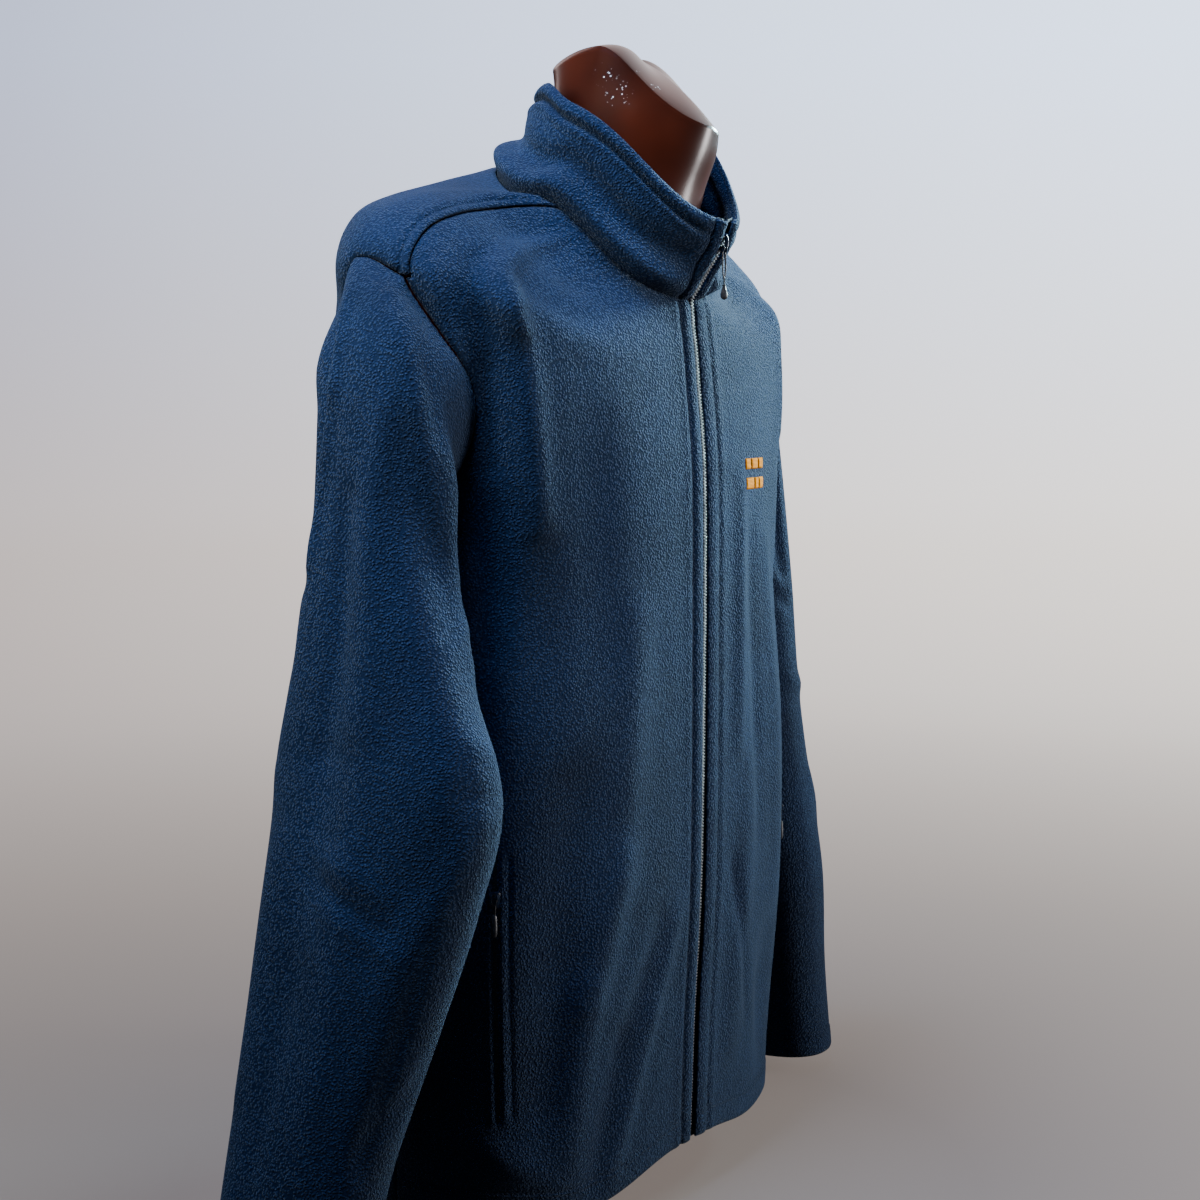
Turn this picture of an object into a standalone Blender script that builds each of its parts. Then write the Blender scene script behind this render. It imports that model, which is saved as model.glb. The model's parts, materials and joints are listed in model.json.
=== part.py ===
"""A zip-front fleece jacket with a stand collar, worn by a limbless dress form on a low foot.

Metres, +Z up, the wearer facing -Y. The origin is under the middle of the whole outline.
The wearer's right is at -X. Each cloth piece is a thin wall laid on a lofted garment form:
the torso form is a stack of rings from hem to neck, each sleeve a stack of rings from armhole
to cuff, and the collar rises from the neck ring.
"""

import math

import bmesh
import bpy
import numpy as np
from mathutils import Vector

# ---------------------------------------------------------------- driving dimensions
CLOTH = 0.0022  # fleece thickness
COLLAR_CLOTH = 0.0036  # two layers of fleece
SEAM_GAP = 0.0003
FRONT_EDGE = 0.0048  # from the middle of the zip to each front's edge
TAPE_WIDTH = 0.013
TAPE_THICK = 0.0008
CHAIN_WIDTH = 0.0056
CHAIN_THICK = 0.0019
POCKET_ZIP_WIDTH = 0.010
POCKET_ZIP_THICK = 0.0012
RIGHT, LEFT = -1, 1

# ---------------------------------------------------------------- torso form
# Angles run from 0 at the front middle to 180 at the back middle.
BODY_COLUMNS = ("name", "front_z", "side_z", "back_z", "half_width", "front_y", "side_y", "back_y", "square", "drop")
BODY_RINGS = [
    ("hem", 0.043, 0.034, 0.036, 0.203, -0.109, 0.005, 0.122, 2.5, 1.0),
    ("hip", 0.120, 0.118, 0.120, 0.206, -0.114, 0.005, 0.126, 2.6, 1.0),
    ("high_hip", 0.220, 0.220, 0.220, 0.208, -0.118, 0.004, 0.122, 2.8, 1.0),
    ("waist", 0.330, 0.330, 0.330, 0.206, -0.120, 0.002, 0.112, 2.8, 1.0),
    ("rib", 0.440, 0.440, 0.440, 0.203, -0.121, 0.000, 0.110, 2.4, 1.0),
    ("chest", 0.525, 0.520, 0.530, 0.202, -0.121, 0.000, 0.111, 2.4, 1.0),
    ("armscye", 0.562, 0.583, 0.600, 0.207, -0.119, 0.000, 0.107, 2.4, 1.5),
    ("blade", 0.588, 0.635, 0.655, 0.2145, -0.1165, 0.001, 0.099, 2.3, 2.0),
    ("shoulder_tip", 0.608, 0.678, 0.695, 0.2220, -0.115, 0.006, 0.090, 2.2, 3.0),
    ("shoulder", 0.623, 0.708, 0.720, 0.199, -0.1135, 0.010, 0.086, 2.2, 4.0),
    ("mid_shoulder", 0.634, 0.722, 0.736, 0.166, -0.112, 0.006, 0.074, 2.2, 4.0),
    ("near_neck", 0.643, 0.727, 0.745, 0.130, -0.1115, -0.002, 0.060, 2.2, 4.0),
    ("neck_base", 0.649, 0.727, 0.751, 0.101, -0.111, -0.019, 0.047, 2.1, 3.0),
    ("neck_seam", 0.653, 0.724, 0.756, 0.084, -0.111, -0.035, 0.038, 2.0, 2.0),
]
HEM, TIP, NECK = 0.0, 8.0, 13.0  # ring numbers of the hem, the armhole's top and the neck seam
UNDERARM, ARM_MID = 4.72, 6.0  # ring numbers of the armhole's lowest and widest places
ARM_WIDTHS = {RIGHT: (18.0, 14.0), LEFT: (13.5, 17.0)}  # the armhole's reach forward and back, degrees
ARM_TOP_FRONT, ARM_TOP_BACK = 77.0, 98.0  # where its flat top begins and ends, degrees
SHOULDER_SEAM = [77.0, 76.5, 75.5, 75.5, 79.0, 84.0]  # angle of the seam at rings 8 to 13

# Soft folds: a ridge or, with a negative height, a trough, from one place to another.
FOLD_COLUMNS = ("from_angle", "from_z", "to_angle", "to_z", "half_width", "height")
ARC = 0.0034  # metres round the body for one degree
BODY_FOLDS = {
    RIGHT: [
        (60.0, 0.670, 58.0, 0.480, 0.024, 0.0045),
        (72.0, 0.600, 68.0, 0.440, 0.018, -0.0040),
        (12.0, 0.150, 44.0, 0.030, 0.016, 0.0040),
        (26.0, 0.190, 56.0, 0.060, 0.014, -0.0040),
        (120.0, 0.520, 112.0, 0.200, 0.022, -0.0050),
        (145.0, 0.560, 138.0, 0.080, 0.030, 0.0040),
        (165.0, 0.300, 160.0, 0.040, 0.024, -0.0040),
    ],
    LEFT: [
        (60.0, 0.670, 58.0, 0.480, 0.024, 0.0040),
        (74.0, 0.590, 70.0, 0.440, 0.018, -0.0035),
        (46.0, 0.160, 52.0, 0.080, 0.026, -0.0080),
        (30.0, 0.300, 24.0, 0.110, 0.022, 0.0035),
        (118.0, 0.500, 108.0, 0.180, 0.022, -0.0045),
        (150.0, 0.420, 146.0, 0.050, 0.026, 0.0040),
    ],
}


def spline(values, at):
    """Catmull-Rom through evenly numbered values."""
    v = np.asarray(values, float)
    last = len(v) - 1
    at = np.clip(np.asarray(at, float), 0, last)
    i = np.minimum(at.astype(int), last - 1)
    f = at - i
    pad = np.concatenate([[2 * v[0] - v[1]], v, [2 * v[-1] - v[-2]]])
    a, b, c, d = pad[i], pad[i + 1], pad[i + 2], pad[i + 3]
    return 0.5 * (2 * b + (c - a) * f + (2 * a - 5 * b + 4 * c - d) * f**2 + (3 * b - a - 3 * c + d) * f**3)


def column(rows, names, name):
    return [row[names.index(name)] for row in rows]


def ring_point(ring, angle, side):
    """Points on rings whose sizes are given as a dictionary of arrays."""
    a = np.radians(angle)
    front = np.cos(a) > 0
    depth = np.where(front, ring["side_y"] - ring["front_y"], ring["back_y"] - ring["side_y"])
    n = ring["square"]
    radius = (np.abs(np.cos(a) / depth) ** n + np.abs(np.sin(a) / ring["half_width"]) ** n) ** (-1 / n)
    k = ring["drop"]
    share = (1 - np.exp(-k * np.cos(a) ** 2)) / (1 - np.exp(-k))
    z = ring["side_z"] + (np.where(front, ring["front_z"], ring["back_z"]) - ring["side_z"]) * share
    return np.stack([side * radius * np.sin(a), ring["side_y"] - radius * np.cos(a), z], -1)


def body_base(s, angle, side):
    s, angle = np.broadcast_arrays(np.asarray(s, float), np.asarray(angle, float))
    ring = {name: spline(column(BODY_RINGS, BODY_COLUMNS, name), s) for name in BODY_COLUMNS[1:]}
    return ring_point(ring, angle, side)


def normal_of(surface, s, angle, side):
    """Outward unit normals of a surface, from small steps along its two directions."""
    along = surface(s + 0.01, angle, side) - surface(s - 0.01, angle, side)
    around = surface(s, angle + 0.1, side) - surface(s, angle - 0.1, side)
    n = np.cross(around, along) * side
    return n / np.linalg.norm(n, axis=-1, keepdims=True)


def streaks(rows, angle, z, arc):
    """The sum of soft ridges and troughs at places given by angle and height."""
    total = np.zeros(np.broadcast(angle, z).shape)
    for a0, z0, a1, z1, wide, height in rows:
        dx, dz = (a1 - a0) * arc, z1 - z0
        px, pz = (angle - a0) * arc, z - z0
        t = np.clip((px * dx + pz * dz) / (dx**2 + dz**2), 0, 1)
        away = np.hypot(px - t * dx, pz - t * dz)
        total = total + height * np.exp(-((away / wide) ** 2)) * np.sqrt(np.sin(np.pi * (0.12 + 0.76 * t)))
    return total


def body(s, angle, side, sink=0.0):
    """The garment's torso surface with its folds, moved in by sink."""
    base = body_base(s, angle, side)
    fold = streaks(BODY_FOLDS[side], np.asarray(angle, float), base[..., 2], ARC)
    near_zip = np.clip((np.asarray(angle, float) - 3.0) / 10.0, 0, 1)
    fold = fold * near_zip
    return base + normal_of(body_base, s, angle, side) * (fold - sink)[..., None]


def armhole_edge(t, front, side):
    """Ring number and angle along half the armhole: t is 0 at its flat top and 1 at the underarm."""
    t = np.asarray(t, float)
    width, top = (-ARM_WIDTHS[side][0], ARM_TOP_FRONT) if front else (ARM_WIDTHS[side][1], ARM_TOP_BACK)
    theta = np.clip((t - 0.5) / 0.5, 0, 1) * math.pi / 2
    u = np.clip(t / 0.5, 0, 1)
    s = np.where(t < 0.5, TIP + (ARM_MID - TIP) * u, ARM_MID - (ARM_MID - UNDERARM) * np.sin(theta))
    angle = np.where(t < 0.5, top + (90 + width - top) * (1 - (1 - u) ** 1.5), 90 + width * np.cos(theta))
    return s, angle


ARM_STEPS = 9  # rows of cloth from the underarm to the armhole's top
TOP_STEPS = 3  # columns across the armhole's flat top
LOW_ROWS = [0.0, 0.25, 0.75, 1.2, 1.65, 2.1, 2.55, 3.0, 3.45, 3.9, 4.35]
HIGH_ROWS = [8.8, 9.6, 10.4, 11.3, 12.2, 13.0]
FRONT_SHARES = [0.0, 0.07, 0.16, 0.25, 0.34, 0.43, 0.52, 0.60, 0.67, 0.739, 0.774, 0.85, 0.925, 1.0]
BACK_SHARES = [0.0, 0.10, 0.21, 0.32, 0.43, 0.54, 0.65, 0.77, 0.88, 1.0]
POCKET_COLUMNS = (9, 10)
POCKET_ROWS = (2, 6)


def panel_rows(side):
    """Ring numbers of the rows, with the angles where the front ends, the back ends and the back's yoke begins."""
    t = np.linspace(1, 0, ARM_STEPS + 1)
    s_arm, front_arm = armhole_edge(t, True, side)
    _, back_arm = armhole_edge(t, False, side)
    low, high = np.array(LOW_ROWS), np.array(HIGH_ROWS)
    seam = spline(SHOULDER_SEAM, high - TIP)
    straight = np.full(len(low), 90.0)
    rows = np.concatenate([low, s_arm, high])
    front = np.concatenate([straight, front_arm, seam])
    inner = np.concatenate([straight, back_arm, seam + ARM_TOP_BACK - ARM_TOP_FRONT])
    outer = np.where(rows >= TIP, front, inner)
    return rows, front, inner, outer


def edge_angle(rings, at, x):
    """The angle at which a ring is a small distance x from the front middle."""
    depth = spline(column(rings, BODY_COLUMNS, "side_y"), at) - spline(column(rings, BODY_COLUMNS, "front_y"), at)
    return np.degrees(np.arctan2(np.abs(x), depth))


def front_angles(row_end, first):
    return first + (row_end - first) * np.array(FRONT_SHARES)


def back_angles(inner, outer):
    """Angles from the centre back out to the seam, with the yoke's few columns at the end."""
    low = 180 + (inner - 180) * np.array(BACK_SHARES)
    return np.concatenate([low, inner + (outer - inner) * np.linspace(0, 1, TOP_STEPS + 1)[1:]])


# ---------------------------------------------------------------- sleeve form
# Each ring is tilted in the x-z plane from its inner to its outer point.
SLEEVE_COLUMNS = ("name", "in_x", "in_z", "out_x", "out_z", "y", "half_front", "square")
SLEEVE_RINGS = {
    RIGHT: [
        ("cap", 0.2095, 0.501, 0.2460, 0.650, -0.016, 0.050, 2.0),
        ("upper", 0.2085, 0.476, 0.2620, 0.610, -0.022, 0.047, 2.0),
        ("bicep", 0.2090, 0.446, 0.2720, 0.520, -0.021, 0.046, 2.1),
        ("above_elbow", 0.2120, 0.402, 0.2850, 0.428, -0.031, 0.059, 2.2),
        ("elbow", 0.2150, 0.328, 0.3000, 0.342, -0.039, 0.083, 2.3),
        ("below_elbow", 0.2310, 0.253, 0.3140, 0.267, -0.0325, 0.080, 2.3),
        ("forearm", 0.2510, 0.172, 0.3260, 0.188, -0.021, 0.070, 2.3),
        ("wrist", 0.2730, 0.086, 0.3410, 0.104, -0.008, 0.060, 2.3),
        ("cuff", 0.2890, 0.010, 0.3550, 0.026, -0.003, 0.059, 2.3),
    ],
    LEFT: [
        ("cap", 0.2095, 0.501, 0.2460, 0.650, 0.006, 0.050, 2.0),
        ("upper", 0.2085, 0.476, 0.2640, 0.610, 0.008, 0.050, 2.2),
        ("bicep", 0.2090, 0.446, 0.2740, 0.520, 0.004, 0.050, 2.2),
        ("above_elbow", 0.2120, 0.402, 0.2860, 0.428, 0.010, 0.060, 2.2),
        ("elbow", 0.2150, 0.328, 0.2980, 0.342, 0.0180, 0.070, 2.2),
        ("below_elbow", 0.2310, 0.253, 0.3120, 0.267, 0.012, 0.066, 2.2),
        ("forearm", 0.2510, 0.173, 0.3260, 0.187, 0.004, 0.061, 2.3),
        ("wrist", 0.2730, 0.090, 0.3410, 0.100, 0.005, 0.055, 2.3),
        ("cuff", 0.2890, 0.014, 0.3550, 0.020, 0.004, 0.052, 2.3),
    ],
}
SLEEVE_ARC = 0.0011  # metres round the sleeve for one degree
SLEEVE_FOLDS = {
    RIGHT: [
        (35.0, 0.640, 40.0, 0.340, 0.016, 0.0045),
        (85.0, 0.580, 95.0, 0.430, 0.014, -0.0050),
        (-5.0, 0.560, -5.0, 0.180, 0.014, -0.0035),
        (60.0, 0.330, 20.0, 0.270, 0.012, -0.0035),
        (-60.0, 0.560, -60.0, 0.380, 0.016, -0.0040),
        (100.0, 0.160, 60.0, 0.120, 0.010, -0.0025),
    ],
    LEFT: [
        (35.0, 0.640, 45.0, 0.420, 0.016, 0.0045),
        (85.0, 0.580, 95.0, 0.440, 0.014, -0.0050),
        (20.0, 0.420, 10.0, 0.160, 0.016, -0.0035),
        (-50.0, 0.560, -60.0, 0.380, 0.016, -0.0040),
        (70.0, 0.260, 30.0, 0.200, 0.012, 0.0030),
    ],
}
ARMHOLE_CLEAR = 0.00025  # how far inside the armhole's edge the sleeve starts
CAP_ANGLE = 20.0  # the sleeve's angle where the armhole's flat top ends
CUFF = float(len(SLEEVE_RINGS[RIGHT]))  # ring number of the cuff; the armhole is ring 0
SLEEVE_ROWS = [0.0, 0.35, 0.7, 1.0, 1.4, 1.8, 2.2, 2.6, 3.0, 3.4, 3.8, 4.2, 4.6, 5.0, 5.4, 5.8, 6.4, 7.0, 7.6, 8.2, 8.7, 9.0]


def armhole_place(psi, side):
    """Ring number and angle of the armhole: psi is 0 at the top, 90 in front, 180 at the underarm."""
    psi = np.mod(np.asarray(psi, float) + 180, 360) - 180
    t = (np.abs(psi) - CAP_ANGLE) / (180 - CAP_ANGLE)
    s_front, a_front = armhole_edge(np.clip(t, 0, 1), True, side)
    s_back, a_back = armhole_edge(np.clip(t, 0, 1), False, side)
    top = ARM_TOP_FRONT + (ARM_TOP_BACK - ARM_TOP_FRONT) * (CAP_ANGLE - psi) / (2 * CAP_ANGLE)
    s = np.where(t < 0, TIP, np.where(psi >= 0, s_front, s_back))
    return s, np.where(t < 0, top, np.where(psi >= 0, a_front, a_back))


def sleeve_ring(row, psi, side):
    size = dict(zip(SLEEVE_COLUMNS, row))
    a = np.radians(psi)
    scale = (np.abs(np.cos(a)) ** size["square"] + np.abs(np.sin(a)) ** size["square"]) ** (-1 / size["square"])
    out = 0.5 + 0.5 * scale * np.cos(a)
    x = size["in_x"] + (size["out_x"] - size["in_x"]) * out
    z = size["in_z"] + (size["out_z"] - size["in_z"]) * out
    return np.stack([side * x, size["y"] - size["half_front"] * scale * np.sin(a), z], -1)


def sleeve_base(q, psi, side):
    """The sleeve's surface: q is 0 at the armhole and CUFF at the cuff."""
    q, psi = np.broadcast_arrays(np.asarray(q, float), np.asarray(psi, float))
    edge = body(*armhole_place(psi, side), side)
    rings = [sleeve_ring(row, psi, side) for row in SLEEVE_RINGS[side]]
    points = np.stack([2 * edge - rings[0], edge, *rings, 2 * rings[-1] - rings[-2]])
    i = np.clip(np.floor(q).astype(int), 0, len(points) - 4)
    f = (q - i)[..., None]
    a, b, c, d = (np.take_along_axis(points, (i + k)[None, ..., None], 0)[0] for k in range(4))
    return 0.5 * (2 * b + (c - a) * f + (2 * a - 5 * b + 4 * c - d) * f**2 + (3 * b - a - 3 * c + d) * f**3)


def sleeve_normal(q, psi, side):
    """Outward normals of the sleeve, leaning on the torso's own where the sleeve starts."""
    q = np.clip(np.asarray(q, float), 0.02, CUFF - 0.02)
    along = sleeve_base(q + 0.01, psi, side) - sleeve_base(q - 0.01, psi, side)
    around = sleeve_base(q, psi + 0.2, side) - sleeve_base(q, psi - 0.2, side)
    n = np.cross(around, along) * side
    n /= np.linalg.norm(n, axis=-1, keepdims=True)
    along /= np.linalg.norm(along, axis=-1, keepdims=True)
    s, angle = armhole_place(psi, side)
    torso = normal_of(body_base, s, angle, side)
    inside = np.clip(np.sum(along * torso, -1, keepdims=True) / 0.3, 0, 1)
    seam = torso + inside * n
    seam /= np.linalg.norm(seam, axis=-1, keepdims=True)
    near = np.clip(1 - q / 0.35, 0, 1)[..., None]
    mixed = n * (1 - near) + seam * near
    return mixed / np.linalg.norm(mixed, axis=-1, keepdims=True)


def sleeve(q, psi, side, sink=0.0):
    base = sleeve_base(q, psi, side)
    turn = np.mod(np.asarray(psi, float) + 180, 360) - 180
    fold = streaks(SLEEVE_FOLDS[side], turn, base[..., 2], SLEEVE_ARC) * np.clip(np.asarray(q, float) / 1.2, 0, 1)
    s, angle = armhole_place(psi, side)
    seam = body(*armhole_place(np.asarray(psi) + 1.0, side), side) - body(*armhole_place(np.asarray(psi) - 1.0, side), side)
    into = np.cross(normal_of(body_base, s, angle, side), seam) * side
    into /= np.linalg.norm(into, axis=-1, keepdims=True)
    clear = np.clip(1 - np.asarray(q, float) / 0.7, 0, 1)[..., None] * ARMHOLE_CLEAR
    return base + sleeve_normal(q, psi, side) * (fold - sink)[..., None] + into * clear


# ---------------------------------------------------------------- collar form
COLLAR_RINGS = [
    BODY_RINGS[-1],
    ("roll", 0.6700, 0.741, 0.772, 0.0810, -0.1225, -0.045, 0.0290, 2.0, 1.6),
    ("middle", 0.6860, 0.756, 0.787, 0.0770, -0.1335, -0.054, 0.0170, 1.9, 1.1),
    ("top", 0.7060, 0.780, 0.808, 0.0725, -0.1430, -0.060, 0.0060, 1.65, 0.3),
]
NAPE_RISE = (0.0185, 114, 24)  # the top edge stands higher behind the ears: height, angle, spread
COLLAR_ROWS = [0.0, 0.6, 1.2, 1.8, 2.4, 3.0]


def collar_base(h, angle, side):
    h, angle = np.broadcast_arrays(np.asarray(h, float), np.asarray(angle, float))
    ring = {name: spline(column(COLLAR_RINGS, BODY_COLUMNS, name), h) for name in BODY_COLUMNS[1:]}
    points = ring_point(ring, angle, side)
    height, centre, spread = NAPE_RISE
    points[..., 2] += height * np.exp(-(((angle - centre) / spread) ** 2)) * np.clip(h / 3, 0, 1) ** 1.5
    return points


def collar(h, angle, side, sink=0.0):
    clear = np.clip(h, 0.02, len(COLLAR_RINGS) - 1.02)
    return collar_base(h, angle, side) - normal_of(collar_base, clear, angle, side) * np.asarray(sink)[..., None]


# ---------------------------------------------------------------- making closed walls
def cloth_wall(name, outer, inner, material, cells=None, tube=False):
    """A closed solid between two grids of points; cells says which squares of the grid exist."""
    rows, cols = outer.shape[:2]
    wide = cols if tube else cols - 1
    cells = np.ones((rows - 1, wide), bool) if cells is None else cells
    bm = bmesh.new()
    index = {}

    def vert(r, c, layer):
        key = (r, c % cols, layer)
        if key not in index:
            index[key] = bm.verts.new((outer if layer else inner)[r, c % cols])
        return index[key]

    def quad(a, b, c, d):
        bm.faces.new((a, b, c))
        bm.faces.new((a, c, d))

    def has(r, c):
        return 0 <= r < rows - 1 and (tube or 0 <= c < wide) and cells[r, c % wide]

    for r in range(rows - 1):
        for c in range(wide):
            if not cells[r, c]:
                continue
            for layer in (0, 1):
                quad(vert(r, c, layer), vert(r, c + 1, layer), vert(r + 1, c + 1, layer), vert(r + 1, c, layer))
            sides = [((r - 1, c), (r, c), (r, c + 1)), ((r + 1, c), (r + 1, c), (r + 1, c + 1))]
            sides += [((r, c - 1), (r, c), (r + 1, c)), ((r, c + 1), (r, c + 1), (r + 1, c + 1))]
            for beside, p, q in sides:
                if not has(*beside):
                    quad(vert(*p, 0), vert(*q, 0), vert(*q, 1), vert(*p, 1))
    bmesh.ops.recalc_face_normals(bm, faces=bm.faces[:])
    return finish(name, bm, material)


def finish(name, bm, material):
    mesh = bpy.data.meshes.new(name)
    bm.to_mesh(mesh)
    bm.free()
    obj = bpy.data.objects.new(name, mesh)
    bpy.context.scene.collection.objects.link(obj)
    mesh.materials.append(material)
    return obj


def pull_in(points, first_row=0, last_row=0, first_col=0, last_col=0):
    """Moves a grid's edges in along the cloth by the given distances."""
    p = points.copy()

    def step(edge, next_, amount):
        d = next_ - edge
        return edge + d / np.linalg.norm(d, axis=-1, keepdims=True) * amount

    if first_row:
        p[0] = step(points[0], points[1], first_row)
    if last_row:
        p[-1] = step(points[-1], points[-2], last_row)
    if first_col:
        p[:, 0] = step(p[:, 0], p[:, 1], first_col)
    if last_col:
        p[:, -1] = step(p[:, -1], p[:, -2], last_col)
    return p


def principled(name, colour, roughness, metallic=0.0):
    material = bpy.data.materials.new(name)
    material.use_nodes = True
    shader = material.node_tree.nodes["Principled BSDF"]
    shader.inputs["Base Color"].default_value = (*colour, 1)
    shader.inputs["Roughness"].default_value = roughness
    shader.inputs["Metallic"].default_value = metallic
    material.diffuse_color = (*colour, 1)
    return material


def box_mesh(bm, lo, hi):
    made = bmesh.ops.create_cube(bm, size=1)["verts"]
    for v in made:
        v.co = [lo[k] + (v.co[k] + 0.5) * (hi[k] - lo[k]) for k in range(3)]
    return made


def rod_mesh(bm, radius, start, end, segments=20):
    """A rod along x."""
    made = bmesh.ops.create_cone(bm, cap_ends=True, segments=segments, radius1=radius, radius2=radius, depth=1)["verts"]
    for v in made:
        x, y, z = v.co
        v.co = (start + (z + 0.5) * (end - start), y, -x)
    return made


def solid_of(shape, name):
    bm = bmesh.new()
    shape(bm)
    bmesh.ops.recalc_face_normals(bm, faces=bm.faces[:])
    mesh = bpy.data.meshes.new(name)
    bm.to_mesh(mesh)
    bm.free()
    obj = bpy.data.objects.new(name, mesh)
    bpy.context.scene.collection.objects.link(obj)
    return obj


def combine(base, others, how="UNION"):
    """One closed body from several, by exact booleans."""
    for other in others:
        mod = base.modifiers.new("join", "BOOLEAN")
        mod.operation, mod.solver, mod.object = how, "EXACT", other
        graph = bpy.context.evaluated_depsgraph_get()
        mesh = bpy.data.meshes.new_from_object(base.evaluated_get(graph))
        base.modifiers.clear()
        base.data = mesh
        bpy.data.objects.remove(other)
    return base


# ---------------------------------------------------------------- build
for old in list(bpy.data.objects):
    bpy.data.objects.remove(old)

fleece = principled("fleece", (0.012, 0.045, 0.095), 0.95)
zip_metal = principled("zip_teeth", (0.34, 0.36, 0.40), 0.35)
tape_cloth = principled("zip_tape", (0.03, 0.035, 0.045), 0.9)
slider_metal = principled("slider_metal", (0.06, 0.06, 0.07), 0.35, 1.0)
cord_black = principled("pull_cord", (0.01, 0.01, 0.012), 0.6)
form_gloss = principled("form_gloss", (0.16, 0.06, 0.03), 0.2)

HALF_GAP = SEAM_GAP / 2 + 0.00005
panels = {side: panel_rows(side) for side in (RIGHT, LEFT)}
rows = panels[RIGHT][0]


def panel_grid(angles, side, sink):
    return body(rows[:, None], angles, side, sink)


# The fronts: zip edge, hem, side seam, armhole, shoulder seam and neck.
first_angle = edge_angle(BODY_RINGS, rows, FRONT_EDGE)
front_a = {side: np.array([front_angles(*pair) for pair in zip(panels[side][1], first_angle)]) for side in panels}
for side, name in ((RIGHT, "front_right"), (LEFT, "front_left")):
    grids = [pull_in(panel_grid(front_a[side], side, sink), last_row=HALF_GAP, last_col=HALF_GAP) for sink in (0.0, CLOTH)]
    cloth_wall(name, *grids, fleece)

# The back in one piece, with a yoke that comes forward over the shoulders.
back_a = {side: np.array([back_angles(i, o) for i, o in zip(*panels[side][2:])]) for side in panels}
back_cols = back_a[RIGHT].shape[1]
yoke_row = int(np.argmax(rows >= TIP))


def back_grid(sink):
    halves = {}
    for side in (RIGHT, LEFT):
        grid = panel_grid(back_a[side], side, sink)
        lower = pull_in(grid[:, : back_cols - TOP_STEPS], last_col=HALF_GAP)
        out = grid.copy()
        out[yoke_row:] = pull_in(grid[yoke_row:], last_row=HALF_GAP, last_col=HALF_GAP)
        out[:yoke_row, : back_cols - TOP_STEPS] = lower[:yoke_row]
        top = grid[yoke_row, back_cols - 1 - TOP_STEPS :]
        lift = grid[yoke_row + 1, back_cols - 1 - TOP_STEPS :] - top
        moved = top + lift / np.linalg.norm(lift, axis=-1, keepdims=True) * HALF_GAP
        moved[-1] += out[yoke_row, -1] - grid[yoke_row, -1]
        out[yoke_row, back_cols - 1 - TOP_STEPS :] = moved
        halves[side] = out
    return np.concatenate([halves[RIGHT][:, ::-1], halves[LEFT][:, 1:]], 1)


cells = np.ones((len(rows) - 1, 2 * back_cols - 2), bool)
cells[:yoke_row, :TOP_STEPS] = False
cells[:yoke_row, -TOP_STEPS:] = False
cloth_wall("back", back_grid(0.0), back_grid(CLOTH), fleece, cells)

# The sleeves.
arm_t = np.linspace(0, 1, ARM_STEPS + 1)
front_psi = CAP_ANGLE + (180 - CAP_ANGLE) * arm_t
top_psi = np.linspace(-CAP_ANGLE, CAP_ANGLE, TOP_STEPS + 1)
sleeve_psi = np.concatenate([top_psi[:-1], front_psi, 360 - front_psi[::-1][1:-1]])
q_rows = np.array(SLEEVE_ROWS)


def sleeve_grid(side, sink):
    grid = sleeve(q_rows[:, None], sleeve_psi[None, :], side, np.full((len(q_rows), len(sleeve_psi)), sink))
    return pull_in(grid, first_row=HALF_GAP)


for side, name in ((RIGHT, "sleeve_right"), (LEFT, "sleeve_left")):
    cloth_wall(name, sleeve_grid(side, 0.0), sleeve_grid(side, CLOTH), fleece, tube=True)

# The stand collar, two layers thick.
collar_h = np.array(COLLAR_ROWS)
collar_a = {}
for side in panels:
    ends = np.concatenate([front_a[side][-1][1:], back_a[side][-1][::-1][1:]])
    collar_a[side] = np.array([np.concatenate([[first], ends]) for first in edge_angle(COLLAR_RINGS, collar_h, FRONT_EDGE)])


def collar_grid(sink):
    right, left = (collar(collar_h[:, None], collar_a[side], side, sink) for side in (RIGHT, LEFT))
    return pull_in(np.concatenate([right, left[:, :-1][:, ::-1]], 1), first_row=SEAM_GAP)


cloth_wall("collar", collar_grid(0.0), collar_grid(COLLAR_CLOTH), fleece)

# The main zip runs from hem to collar top: a chain with a tape on each side, behind the cloth.
line_rows = np.concatenate([rows, NECK + collar_h[1:]])


def zip_line(x):
    """Points down the front at a small distance from its middle."""
    torso = body(rows, edge_angle(BODY_RINGS, rows, x), LEFT)
    neck = collar(collar_h[1:], edge_angle(COLLAR_RINGS, collar_h[1:], x), LEFT)
    line = np.concatenate([torso, neck])
    line[:, 0] = x
    return line


def zip_strip(name, xs, sinks, material, thick):
    """A strip along the zip: xs are its edges across, sinks its depth behind the surface row by row."""
    lines = [zip_line(x) for x in xs]
    tangent = np.gradient(lines[0][:, 1:], axis=0)
    tangent /= np.linalg.norm(tangent, axis=1, keepdims=True)
    outward = np.stack([0 * tangent[:, 0], -tangent[:, 1], tangent[:, 0]], 1)
    grids = [np.stack([line - outward * (sinks + extra)[:, None] for line in lines], 1) for extra in (0.0, thick)]
    return cloth_wall(name, *grids, material), lines[0], outward


behind = np.where(line_rows < NECK - 0.5, CLOTH, COLLAR_CLOTH) + np.where(line_rows < NECK + 0.5, 0.0006, 0.0011)
chain_sink = behind - CHAIN_THICK - SEAM_GAP
_, chain_line, chain_out = zip_strip("zip_chain", (-CHAIN_WIDTH / 2, CHAIN_WIDTH / 2), chain_sink, zip_metal, CHAIN_THICK)
tape_in = CHAIN_WIDTH / 2 - 0.0008
for side, name in ((RIGHT, "zip_tape_right"), (LEFT, "zip_tape_left")):
    edges = sorted((side * tape_in, side * (tape_in + TAPE_WIDTH)))
    zip_strip(name, edges, behind, tape_cloth, TAPE_THICK)


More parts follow.
